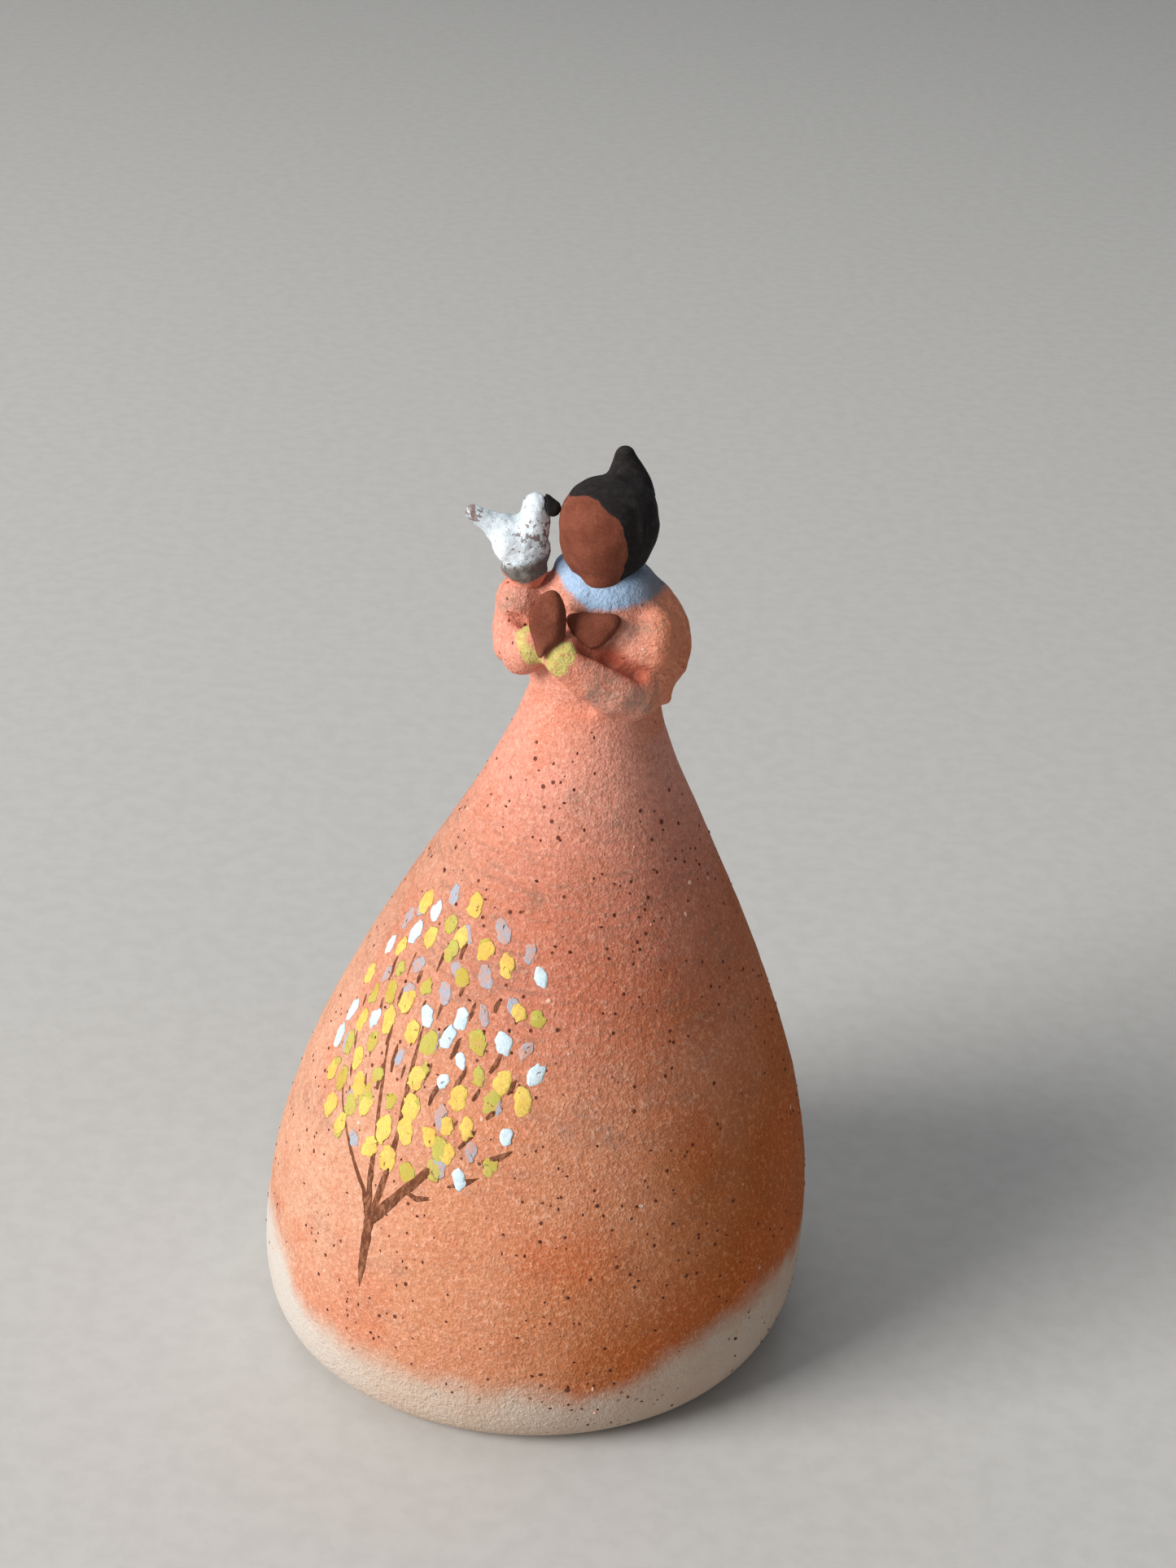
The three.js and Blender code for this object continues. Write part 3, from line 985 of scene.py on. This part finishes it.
@dataclass
class Skirt:
    """The hollow bell that the doll stands on, with its grit."""

    columns: int = 256
    rows: int = 250
    unevenness: float = 0.42 * MM
    meeting: float = 91.5 * MM
    tuck: float = 0.5 * MM
    coral: Coral = Coral("coral_slip", "coral_slip", (0.66, 0.225, 0.145), (0.52, 0.19, 0.105))

    def outline(self) -> list[tuple[float, float]]:
        """The wall's closed outline as (radius, height), read from the CAD node's rings.

        Returns:
            The points, up the outside and down the inside.
        """
        rings: dict[float, list[float]] = {}
        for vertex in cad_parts["skirt"].data.vertices:
            x, y, z = vertex.co
            rings.setdefault(round(z, 5), []).append(math.hypot(x - column(z), y))
        levels = sorted(rings)
        waist = max(rings[levels[-1]])
        outer = [(max(rings[z]), z) for z in levels if max(rings[z]) > waist - 0.1 * MM]
        inner = [
            (min(rings[z]), z)
            for z in levels
            if max(rings[z]) - min(rings[z]) > MM or z > self.meeting - 6 * MM
        ]
        outer = [(r - self.tuck * ease(z, self.meeting, levels[-1]), z) for r, z in outer]
        return outer + [(r, z) for r, z in reversed(inner) if r < waist or z < self.meeting]

    def build(self) -> bpy.types.Object:
        """Turns the shell.

        Returns:
            The shell.
        """
        bm = bmesh.new()
        points = [bm.verts.new((r, 0, z)) for r, z in self.outline()]
        for a, b in zip(points, points[1:] + points[:1]):
            bm.edges.new((a, b))
        return turning_tree().grow(
            from_bmesh("skirt_shell", bm),
            {
                "Columns": self.columns,
                "Rows": self.rows,
                "Lean": LEAN,
                "Pivot": WIDEST,
                "Unevenness": self.unevenness,
                "Finish": self.coral.material(),
            },
        )

    def dress(self, shell: bpy.types.Object) -> None:
        """Finishes the shell and strews its grit.

        Args:
            shell: The shell.
        """
        finish_piece(shell, self.coral, "skirt")
        tree = grain_tree()
        iron = Finish("iron_specks", "bark_brown", (0.11, 0.024, 0.013), (0.06, 0.014, 0.008), 0.1, 0.04)
        grog = Finish("grog_grains", "coral_slip", (0.80, 0.50, 0.37), (0.70, 0.33, 0.21), 0.1, 0.04)
        for name, finish, density, size, seed in (
            ("iron_specks", iron, 62000.0, 0.28 * MM, 4),
            ("grog_grains", grog, 5200.0, 0.36 * MM, 11),
        ):
            grains = tree.grow(
                mesh_object(name, shell.data.copy()),
                {
                    "Density": density,
                    "Size": size,
                    "Lowest": 4 * MM,
                    "Seed": seed,
                    "Finish": finish.material(),
                },
            )
            finish_piece(grains, finish)


@dataclass(frozen=True)
class Dent:
    """A crease pressed into the clay along a line, or a bulge where its depth is negative."""

    start: Vector
    end: Vector
    radius: float
    depth: float

    def press(self, place: Vector, normal: Vector) -> Vector:
        """Where the crease moves one point to.

        Args:
            place: The point.
            normal: The surface's normal there.

        Returns:
            Its new place.
        """
        axis = self.end - self.start
        share = (place - self.start).dot(axis) / max(axis.length_squared, 1e-12)
        near = self.start + axis * min(max(share, 0.0), 1.0)
        away = (place - near).length / self.radius
        return place - normal * self.depth * math.exp(-away * away * 1.4) if away < 2.5 else place


def add_lump(bm: bmesh.types.BMesh, centre: Vector, radii: Vector) -> None:
    """Adds one rounded lump of clay to a bmesh.

    Args:
        bm: The bmesh.
        centre: The lump's middle.
        radii: Its half sizes along x, y and z, in metres.
    """
    matrix = Matrix.Translation(centre) @ Matrix.Diagonal((*radii, 1.0))
    bmesh.ops.create_icosphere(bm, subdivisions=4, radius=1.0, matrix=matrix)


@dataclass
class Bust:
    """The bodice, arms and collar, smeared together and painted."""

    voxel: float = 0.26 * MM
    join: float = 0.42 * MM
    wall: float = 0.5 * MM
    nodes: tuple[str, ...] = ("bodice", "right_sleeve", "left_sleeve", "collar")
    creases: tuple[Dent, ...] = (
        Dent(spot(-11.6, -4.6, 107.4), spot(-9.0, -4.8, 106.6), 0.6 * MM, 1.5 * MM),
        Dent(spot(-2.0, -9.9, 106.2), spot(1.3, -9.0, 104.2), 1.0 * MM, 1.7 * MM),
        Dent(spot(1.3, -9.0, 104.2), spot(5.2, -8.8, 102.2), 1.0 * MM, 1.6 * MM),
        Dent(spot(10.8, -6.8, 98.2), spot(12.2, -2.4, 98.6), 3.0 * MM, 0.9 * MM),
        Dent(spot(7.0, -6.0, 107.0), spot(7.2, -6.4, 104.4), 2.6 * MM, -1.3 * MM),
        Dent(spot(-8.6, -8.0, 99.2), spot(-6.0, -9.0, 98.4), 1.2 * MM, 0.5 * MM),
    )
    lumps: tuple[tuple[Vector, Vector], ...] = (
        (spot(-5.0, 0.6, 112.6), Vector((1.9, 2.6, 1.9)) * MM),
        (spot(-0.7, -0.9, 112.4), Vector((5.2, 4.7, 2.0)) * MM),
        (spot(6.6, -4.2, 105.4), Vector((3.4, 4.4, 4.2)) * MM),
        (spot(2.6, -3.6, 106.8), Vector((3.6, 4.9, 3.4)) * MM),
        (spot(4.8, -5.6, 104.9), Vector((3.6, 3.2, 3.0)) * MM),
        (spot(-10.6, -0.8, 108.2), Vector((3.3, 3.4, 3.7)) * MM),
    )
    cuffs: tuple[tuple[Vector, Vector, float], ...] = (
        (spot(-10.2, -6.4, 107.2), spot(-7.8, -9.6, 103.0), 1.45),
        (spot(-3.7, -12.0, 107.6), spot(-5.6, -11.4, 104.0), 1.95),
    )
    stains: tuple[tuple[Vector, Vector, float], ...] = (
        (spot(0.5, -10.5, 100.4), spot(6.0, -9.6, 98.2), 4.2),
        (spot(4.0, -8.8, 108.6), spot(6.4, -8.0, 109.4), 2.2),
        (spot(-11.8, -4.6, 110.2), spot(-13.2, -3.6, 108.6), 1.6),
        (spot(-9.4, -5.0, 101.6), spot(-6.6, -8.4, 100.6), 1.8),
    )

    def finish(self) -> Dress:
        """The bust's painted slip."""
        return Dress(
            "dress_slip",
            "coral_slip",
            (0.70, 0.285, 0.205),
            (0.60, 0.23, 0.145),
            blots=0.0,
            cuff_places=self.cuffs,
            # Painted shade along the deeper creases.
            crease_shading=tuple((d.start, d.end, d.radius / MM * 2.5) for d in self.creases if d.depth > MM),
            stains=self.stains,
            neck=spot(0.0, 0.0, 110.0),
        )

    def plug(self, bm: bmesh.types.BMesh, gauge: Gauge, low: float, high: float) -> None:
        """Adds the top of the skirt to the lumps, so that the arms join it softly.

        Args:
            bm: The lumps.
            gauge: Measures the skirt.
            low: The plug's foot.
            high: Its top.
        """
        sides, levels = 72, 14
        rings = []
        for k in range(levels + 1):
            z = low + (high - low) * k / levels
            ring = []
            for j in range(sides):
                place, _ = gauge.touch(math.tau * j / sides, z)
                ring.append(bm.verts.new(place))
            rings.append(ring)
        for lower, upper in zip(rings, rings[1:]):
            for j in range(sides):
                k = (j + 1) % sides
                bm.faces.new((lower[j], lower[k], upper[k], upper[j]))
        bm.faces.new(list(reversed(rings[0])))
        bm.faces.new(rings[-1])

    def build(self, skirt: bpy.types.Object, meeting: float) -> dict[str, bpy.types.Object]:
        """Joins, presses and smooths the lumps, and cuts them back into pieces.

        Args:
            skirt: The finished skirt.
            meeting: The height where the skirt's surface gives way to the bust's.

        Returns:
            A piece for each CAD node.
        """
        bm = cad_copy(self.nodes)
        for centre, radii in self.lumps:
            add_lump(bm, centre, radii)
        gauge = Gauge(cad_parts["skirt"].data)
        self.plug(bm, Gauge(skirt.data), meeting - 9 * MM, meeting - 1.2 * MM)
        self.plug(bm, gauge, meeting - 1.4 * MM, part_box("skirt")[1].z - 0.1 * MM)
        joined = smear("bust", bm, self.join, self.voxel, 14)

        def press(place: Vector, normal: Vector) -> Vector:
            """Dents, small lumps and the tuck under the skirt's own surface."""
            for crease in self.creases:
                place = crease.press(place, normal)
            rough = noise.noise(place / (3.2 * MM)) * 0.22 * MM + noise.noise(place / (1.1 * MM)) * 0.06 * MM
            high = ease(place.z, meeting, meeting + 6 * MM)
            place = place + normal * rough * high
            inward = Vector((column(place.z) - place.x, -place.y, 0)).normalized()
            under = ease(place.z, meeting + 0.5 * MM, meeting - 5 * MM + 0.5 * MM)
            return place + inward * 0.45 * MM * under

        sweep(joined, press)
        return share_out(joined, self.nodes, self.wall)

    def dress(self, pieces: Mapping[str, bpy.types.Object]) -> None:
        """Paints the pieces.

        Args:
            pieces: The piece of each CAD node.
        """
        finish = self.finish()
        for node, piece in pieces.items():
            finish_piece(piece, finish, node)


@dataclass
class HeadAndHair:
    """The faceless head, its cap of hair and its topknot."""

    centre: Vector = field(default_factory=lambda: spot(-0.9, -1.5, 118.2))
    look: Vector = field(default_factory=lambda: Vector((-0.56, -0.83, 0)).normalized())
    voxel: float = 0.24 * MM
    chin: tuple[Vector, Vector] = (spot(-0.8, -3.3, 113.5), Vector((2.9, 2.7, 2.4)) * MM)
    cheek: Dent = Dent(spot(-5.4, -4.4, 115.6), spot(-3.8, -4.6, 113.4), 2.4 * MM, 0.3 * MM)

    def build(self) -> dict[str, bpy.types.Object]:
        """Smooths the head and joins the hair to its knot.

        Returns:
            A piece for each CAD node.
        """
        nodes = ("head", "hair", "hair_bun")
        bm = cad_copy(nodes)
        add_lump(bm, *self.chin)
        joined = smear("head_and_hair", bm, 0.45 * MM, self.voxel, 10)
        sweep(joined, self.cheek.press)
        sweep(joined, self.knead(0.20 * MM))
        return share_out(joined, nodes, 0.4 * MM)

    def knead(self, depth: float) -> Callable[[Vector, Vector], Vector]:
        """A move that leaves the small unevenness of fingers.

        Args:
            depth: How deep it goes.

        Returns:
            The move, for sweep.
        """
        return lambda place, normal: place + normal * noise.noise(place / (2.6 * MM)) * depth

    def dress(self, pieces: Mapping[str, bpy.types.Object]) -> None:
        """Paints the face, the hair and the neck.

        Args:
            pieces: The piece of each CAD node.
        """
        brown = Clay.BROWN.value
        face = Head("face_slip", "brown_slip", brown.colour, brown.shade, centre=self.centre, look=self.look)
        for node, piece in pieces.items():
            finish_piece(piece, face, node)
            node != "head"
        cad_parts["neck"].material_slots[0].material = brown.material()


@dataclass(frozen=True)
class Palm:
    """One hand: a flat leaf of clay with a soft ridge.

    Its outline is drawn in its own plane, from a point at its wrist.
    """

    node: str
    wrist: Vector
    along: Vector
    facing: Vector
    outline: tuple[tuple[float, float], ...]
    thickness: float
    ridge: float
    crest: float

    def build(self) -> bpy.types.Object:
        """Shapes the leaf.

        Returns:
            The hand.
        """
        along = self.along.normalized()
        across = along.cross(self.facing).normalized()
        out = across.cross(along)
        bm = bmesh.new()
        middle = Vector((*(sum(axis) for axis in zip(*self.outline)), 0)) / len(self.outline)
        rounds = ((0.3, 1.0), (0.62, 0.96), (0.9, 0.72), (1.0, 0.25), (1.0, -0.35), (0.9, -0.8), (0.6, -1.0))

        def corner(u: float, v: float, share: float, lift: float) -> bmesh.types.BMVert:
            """A point of one ring of the leaf."""
            a, b = middle.x + (u - middle.x) * share, middle.y + (v - middle.y) * share
            gap = a - self.crest
            crest = self.ridge * (1 - max(gap / 1.1, -gap / 3.2)) if lift > 0 else 0.0
            height = lift * self.thickness / 2 + crest * lift
            return bm.verts.new(self.wrist + (across * a + along * b + out * height) * MM)

        rings = [[corner(u, v, share, lift) for u, v in self.outline] for share, lift in rounds]
        count = len(self.outline)
        for upper, lower in zip(rings, rings[1:]):
            for j in range(count):
                k = (j + 1) % count
                bm.faces.new((upper[j], lower[j], lower[k], upper[k]))
        bm.faces.new(rings[0])
        bm.faces.new(list(reversed(rings[-1])))
        bmesh.ops.recalc_face_normals(bm, faces=bm.faces)
        hand = stack(
            from_bmesh(self.node + "_leaf", bm),
            ("SUBSURF", {"levels": 2, "render_levels": 2}),
            ("REMESH", {"mode": "VOXEL", "voxel_size": 0.15 * MM}),
            ("SMOOTH", {"factor": 0.5, "iterations": 3}),
        )
        sweep(hand, lambda place, normal: place + normal * noise.noise(place / (1.6 * MM)) * 0.12 * MM)
        return hand


@dataclass
class Hands:
    """The two hands, crossed at the wrists over the heart."""

    left: Palm = Palm(
        "left_hand",
        spot(-7.35, -10.3, 105.1),
        Vector((0.12, 0.20, 1.0)),
        Vector((0.18, -1.0, 0.42)),
        (
            (0.5, 8.5), (1.4, 7.8), (2.2, 6.3), (2.7, 4.4), (2.8, 2.6), (2.4, 2.2), (1.6, 1.6),
            (0.5, 0.4), (0.1, -0.5), (-0.2, -0.5), (-0.7, 0.5), (-1.6, 2.4), (-2.3, 4.2),
            (-2.1, 5.6), (-1.4, 7.3), (-0.5, 8.3),
        ),
        1.7,
        0.9,
        1.3,
    )
    right: Palm = Palm(
        "right_hand",
        spot(-4.0, -8.1, 106.8),
        Vector((1.0, -0.12, 0.22)),
        Vector((0.06, -1.0, 0.72)),
        (
            (-3.1, 0.0), (-2.8, 2.0), (-2.5, 4.5), (-2.3, 6.3), (-1.4, 7.0), (-0.1, 6.2),
            (1.2, 4.8), (2.1, 3.1), (1.5, 1.9), (0.1, 0.6), (-1.7, -0.4),
        ),
        2.4,
        0.35,
        -0.6,
    )

    def build(self) -> None:
        """Shapes and paints both hands."""
        for palm in (self.left, self.right):
            finish_piece(palm.build(), Clay.BROWN.value, palm.node)


@dataclass
class Songbird:
    """The small white bird on the doll's right shoulder."""

    nodes: tuple[str, ...] = ("bird_body", "bird_tail", "bird_foot")
    voxel: float = 0.17 * MM
    lumps: tuple[tuple[Vector, Vector], ...] = (
        (spot(-12.6, -1.8, 116.2), Vector((2.2, 2.0, 2.4)) * MM),
        (spot(-10.6, -1.6, 114.2), Vector((2.6, 2.2, 2.2)) * MM),
        (spot(-10.4, -0.9, 112.7), Vector((3.0, 2.8, 1.6)) * MM),
    )

    def build(self) -> None:
        """Joins the bird's lumps, kneads them and paints them."""
        bm = cad_copy(self.nodes)
        for centre, radii in self.lumps:
            add_lump(bm, centre, radii)
        joined = smear("bird", bm, 0.45 * MM, self.voxel, 10)
        sweep(
            joined,
            lambda place, normal: place
            + normal * (noise.noise(place / (1.9 * MM)) * 0.22 + noise.noise(place / (0.7 * MM)) * 0.07) * MM,
        )
        white = Bird(
            "bird_slip",
            "white_slip",
            (0.77, 0.83, 0.88),
            (0.50, 0.57, 0.60),
            0.12,
            0.08,
            foot=spot(-10.5, 0.0, 111.6),
            chest=spot(-8.2, -3.0, 117.6),
            tail=spot(-18.3, -1.0, 120.6),
        )
        for node, piece in share_out(joined, self.nodes, 0.35 * MM).items():
            finish_piece(piece, white, node)
            node == "bird_foot"
        beak = smear("bird_beak_point", cad_copy(["bird_beak"]), 0.3 * MM, 0.12 * MM, 4)
        sweep(beak, lambda place, normal: place + normal * 0.22 * MM)
        finish_piece(beak, Clay.BLACK.value, "bird_beak")


@dataclass(frozen=True)
class Limb:
    """One brush line of the painted tree.

    Its points are (degrees round the skirt from the front, height in mm), and its breadths are in mm.
    """

    points: tuple[tuple[float, float], ...]
    breadth: tuple[float, ...]


class Paint(Enum):
    """The daub colours: finish, thickness, raggedness and the mean half length and half breadth, in mm."""

    HAZE = (Clay.HAZE, 0.05, 1.6, 1.60, 0.95)
    GREEN = (Clay.GREEN, 0.07, 1.8, 1.65, 1.12)
    YELLOW = (Clay.YELLOW, 0.09, 1.8, 1.70, 1.20)
    BLOSSOM = (Clay.BLOSSOM, 0.20, 1.4, 1.60, 1.00)


@dataclass
class PaintedTree:
    """The tree of life on the front and right of the skirt."""

    seed: int = 7
    crown: tuple[float, float] = (-38.5, 54.3)
    half_width: float = 35.0
    half_height: float = 17.3
    spacing: float = 3.0
    sink: float = 0.03 * MM
    trunk: Limb = Limb(((-37.0, 21.0), (-37.2, 24.0), (-37.6, 28.0), (-38.2, 31.6)), (0.25, 0.75, 1.0, 1.05))
    limbs: tuple[Limb, ...] = (
        Limb(
            ((-38.6, 31.0), (-41.6, 34.0), (-49.0, 37.8), (-57.0, 42.0), (-63.5, 46.5)),
            (0.7, 0.5, 0.42, 0.36, 0.2),
        ),
        Limb(
            ((-38.8, 31.5), (-40.8, 36.0), (-42.6, 41.0), (-46.5, 47.5), (-53.0, 56.0)),
            (0.75, 0.6, 0.5, 0.42, 0.25),
        ),
        Limb(
            ((-37.8, 31.5), (-37.0, 37.0), (-36.9, 43.0), (-39.0, 50.5), (-41.0, 58.0)),
            (0.8, 0.62, 0.55, 0.5, 0.25),
        ),
        Limb(((-37.6, 31.0), (-31.5, 36.2), (-26.0, 40.4), (-22.0, 43.4)), (1.0, 0.85, 0.7, 0.35)),
        Limb(((-31.0, 36.3), (-28.0, 35.9), (-25.0, 36.5)), (0.45, 0.55, 0.4)),
        Limb(((-21.5, 38.6), (-18.0, 39.6), (-14.0, 40.9)), (0.35, 0.6, 0.2)),
        Limb(((-14.5, 42.5), (-11.0, 43.6), (-7.4, 44.9)), (0.6, 0.6, 0.15)),
    )

    def at(self, gauge: Gauge, angle: float, z: float) -> tuple[Vector, Vector]:
        """A place on the skirt and its normal, from degrees and millimetres."""
        return gauge.touch(math.radians(angle), z * MM)

    def twigs(self, rng: random.Random) -> list[Limb]:
        """Short strokes that fan out from the fork between the daubs.

        Args:
            rng: The source of chance.

        Returns:
            The strokes.
        """
        fork = (-38.2, 31.5)
        made = []
        for k in range(11):
            fan = -0.97 + 1.94 * (k + rng.uniform(0.3, 0.7)) / 11
            reach = rng.uniform(0.42, 0.52)
            while reach < 0.93:
                length = rng.uniform(0.05, 0.12)
                points = []
                for t in (0.0, 0.35, 0.7, 1.0):
                    far = reach + length * t
                    angle = fork[0] + fan * self.half_width * 1.02 * far**0.85
                    z = fork[1] + (1.0 - 0.42 * fan * fan) * 2 * self.half_height * far * 1.06
                    points.append((angle + rng.uniform(-0.3, 0.3), z))
                broad = rng.uniform(0.36, 0.52)
                made.append(Limb(tuple(points), (broad * 0.7, broad, broad * 0.95, broad * 0.45)))
                reach += length + rng.uniform(0.03, 0.10)
        return made

    def strokes(self, gauge: Gauge, limbs: Sequence[Limb], finish: Finish) -> bpy.types.Object:
        """Draws brush lines on the skirt.

        Args:
            gauge: Measures the skirt.
            limbs: The lines.
            finish: Their finish.

        Returns:
            One object that holds them all.
        """
        bm = bmesh.new()
        lift = bm.verts.layers.float_vector.new("lift")
        breadth = bm.verts.layers.float.new("breadth")
        for limb in limbs:
            last = None
            steps = 8 * (len(limb.points) - 1)
            knots = np.arange(len(limb.points))
            for i in range(steps + 1):
                t = i / 8
                angle = float(np.interp(t, knots, [p[0] for p in limb.points]))
                z = float(np.interp(t, knots, [p[1] for p in limb.points]))
                place, normal = self.at(gauge, angle, z)
                vertex = bm.verts.new(place - normal * self.sink)
                vertex[lift] = normal
                wave = 1 + 0.22 * noise.noise(place / (1.3 * MM))
                vertex[breadth] = float(np.interp(t, knots, limb.breadth)) * wave * MM * 0.85
                if last is not None:
                    bm.edges.new((last, vertex))
                last = vertex
        tree = stroke_tree()
        return tree.grow(from_bmesh("tree_strokes", bm), {"Flatness": 0.15, "Finish": finish.material()})

    def places(self, rng: random.Random, gauge: Gauge) -> list[tuple[Vector, Vector, float, float]]:
        """Evenly strewn places in the crown.

        Args:
            rng: The source of chance.
            gauge: Measures the skirt.

        Returns:
            Each place with its normal, and where it lies in the crown from -1 to 1 both ways.
        """
        found: list[tuple[Vector, Vector, float, float]] = []
        for _ in range(6000):
            u, v = rng.uniform(-1, 1), rng.uniform(-1, 1)
            if abs(u) ** 2.5 + abs(v) ** 2.5 > 1.0 or v < -0.93 + 0.1 * u:
                continue
            angle = self.crown[0] + self.half_width * u * (1.0 + 0.10 * v)
            z = self.crown[1] + self.half_height * v
            place, normal = self.at(gauge, angle, z)
            if all((place - other[0]).length > self.spacing * MM for other in found):
                found.append((place, normal, u, v))
        return found

    def colour_of(self, rng: random.Random, u: float, v: float) -> Paint:
        """Picks a daub's colour: blossoms are commoner on the rim.

        Args:
            rng: The source of chance.
            u: Where it lies across the crown.
            v: Where it lies up the crown.

        Returns:
            The colour.
        """
        rim = u * u + v * v
        pick = rng.random()
        if pick < 0.13 + 0.12 * ease(rim, 0.55, 0.95):
            return Paint.BLOSSOM
        rest = rng.random()
        return Paint.YELLOW if rest < 0.48 else Paint.GREEN if rest < 0.82 else Paint.HAZE

    def build(self, skirt: bpy.types.Object) -> None:
        """Paints the tree on the skirt.

        Args:
            skirt: The finished skirt.
        """
        rng = random.Random(self.seed)
        gauge = Gauge(skirt.data)
        bark = Clay.BARK.value
        lines = [self.trunk, *self.limbs, *self.twigs(rng)]
        finish_piece(self.strokes(gauge, lines, bark), bark)
        daubs: dict[Paint, list[tuple[Vector, Vector]]] = {paint: [] for paint in Paint}
        for place, normal, u, v in self.places(rng, gauge):
            paint = self.colour_of(rng, u, v)
            daubs[paint].append((place, normal))
            if paint is not Paint.BLOSSOM and rng.random() < 0.34:
                beside = Vector((rng.uniform(-1.6, 1.6), 0, rng.uniform(-1.5, 1.5))) * MM
                near, lift, _, _ = gauge.tree.find_nearest(place + beside)
                other = {Paint.YELLOW: Paint.GREEN, Paint.HAZE: Paint.YELLOW}.get(paint, Paint.HAZE)
                daubs[other].append((near, lift))
        tree = daub_tree()
        for paint, spots in daubs.items():
            clay, thick, ragged, half_length, half_breadth = paint.value
            bm = bmesh.new()
            lift = bm.verts.layers.float_vector.new("lift")
            up = bm.verts.layers.float_vector.new("up")
            spread = bm.verts.layers.float_vector.new("spread")
            for place, normal in spots:
                vertex = bm.verts.new(place)
                vertex[lift] = normal
                sway = Vector((rng.uniform(-0.5, 0.5), 0, 1.0))
                vertex[up] = (sway - normal * sway.dot(normal)).normalized()
                size = rng.uniform(0.78, 1.12)
                long = half_length * size * rng.uniform(0.9, 1.15)
                vertex[spread] = (half_breadth * size * MM, long * MM, 0)
            daub = tree.grow(
                from_bmesh("daubs_" + paint.name.lower(), bm),
                {"Thickness": thick * MM, "Ragged": ragged * MM, "Finish": clay.value.material()},
            )
            finish_piece(daub, clay.value)
            LOG.info("%d daubs of %s", len(spots), paint.name.lower())


# ---- floor, lights and camera


@dataclass
class Studio:
    """A pale floor, soft light from one side and the camera."""

    eye: Vector = field(default_factory=lambda: Vector((4.62, -335.09, 252.99)) * MM)
    pitch: float = math.radians(27.03)
    roll: float = math.radians(2.87)
    lens: float = 65.4

    def floor(self) -> None:
        """Lays the pale floor."""
        bpy.ops.mesh.primitive_plane_add(size=8.0)
        floor = bpy.context.object
        floor.name = "floor"
        pale = Finish("floor_pale", "", (0.56, 0.545, 0.52), (0.53, 0.515, 0.49), 0.0, 0.0, 0.95)
        floor.data.materials.append(pale.material())

    def lamp(self, name: str, place: Vector, aim: Vector, size: float, power: float, colour: Colour) -> None:
        """Hangs one soft area lamp.

        Args:
            name: The lamp's name.
            place: Where it hangs.
            aim: What it points at.
            size: The side of its square.
            power: Its power in watts.
            colour: Its colour.
        """
        data = bpy.data.lights.new(name, "AREA")
        data.size, data.energy, data.color = size, power, colour
        made = bpy.data.objects.new(name, data)
        made.location = place
        made.rotation_euler = (aim - place).to_track_quat("-Z", "Y").to_euler()
        bpy.context.scene.collection.objects.link(made)

    def light(self) -> None:
        """Sets the lamps and the even light of the room."""
        heart = Vector((0, 0, 0.06))
        self.lamp("window", Vector((-1.56, -0.86, 0.95)), heart, 1.1, 58.0, (1.0, 0.985, 0.97))
        self.lamp("sky", Vector((-0.1, 0.25, 0.95)), heart, 0.9, 2.2, (0.95, 0.98, 1.0))
        self.lamp("bounce", Vector((1.75, -3.25, 1.25)), heart, 3.0, 8.75, (1.0, 0.95, 0.9))
        world = bpy.data.worlds.new("room")
        world.use_nodes = True
        world.node_tree.nodes["Background"].inputs[0].default_value = (0.86, 0.93, 1.0, 1.0)
        world.node_tree.nodes["Background"].inputs[1].default_value = 0.20
        bpy.context.scene.world = world
        bpy.context.scene.view_settings.view_transform = "Standard"

    def camera(self) -> None:
        """Places the camera, pitched down and rolled a little."""
        data = bpy.data.cameras.new("camera")
        data.lens, data.sensor_width, data.clip_start = self.lens, 36.0, 0.01
        made = bpy.data.objects.new("camera", data)
        aim = Vector((0, math.cos(self.pitch), -math.sin(self.pitch)))
        down = Vector((0, -math.sin(self.pitch), -math.cos(self.pitch)))
        right = Vector((1, 0, 0))
        turned = right * math.cos(self.roll) - down * math.sin(self.roll)
        fall = right * math.sin(self.roll) + down * math.cos(self.roll)
        facing = Matrix((turned, -fall, -aim)).transposed().to_4x4()
        made.matrix_world = Matrix.Translation(self.eye) @ facing
        bpy.context.scene.collection.objects.link(made)
        bpy.context.scene.camera = made

    def build(self) -> None:
        """Sets up the studio."""
        self.camera()
        self.floor()
        self.light()


def main() -> None:
    """Builds the doll from the foot up."""
    logging.basicConfig(level=logging.INFO, format="%(name)s: %(message)s")
    Studio().build()
    skirt = Skirt()
    shell = skirt.build()
    skirt.dress(shell)
    PaintedTree().build(shell)
    bust = Bust()
    bust.dress(bust.build(shell, skirt.meeting))
    head = HeadAndHair()
    head.dress(head.build())
    Hands().build()
    Songbird().build()


if __name__ == "__main__":
    main()
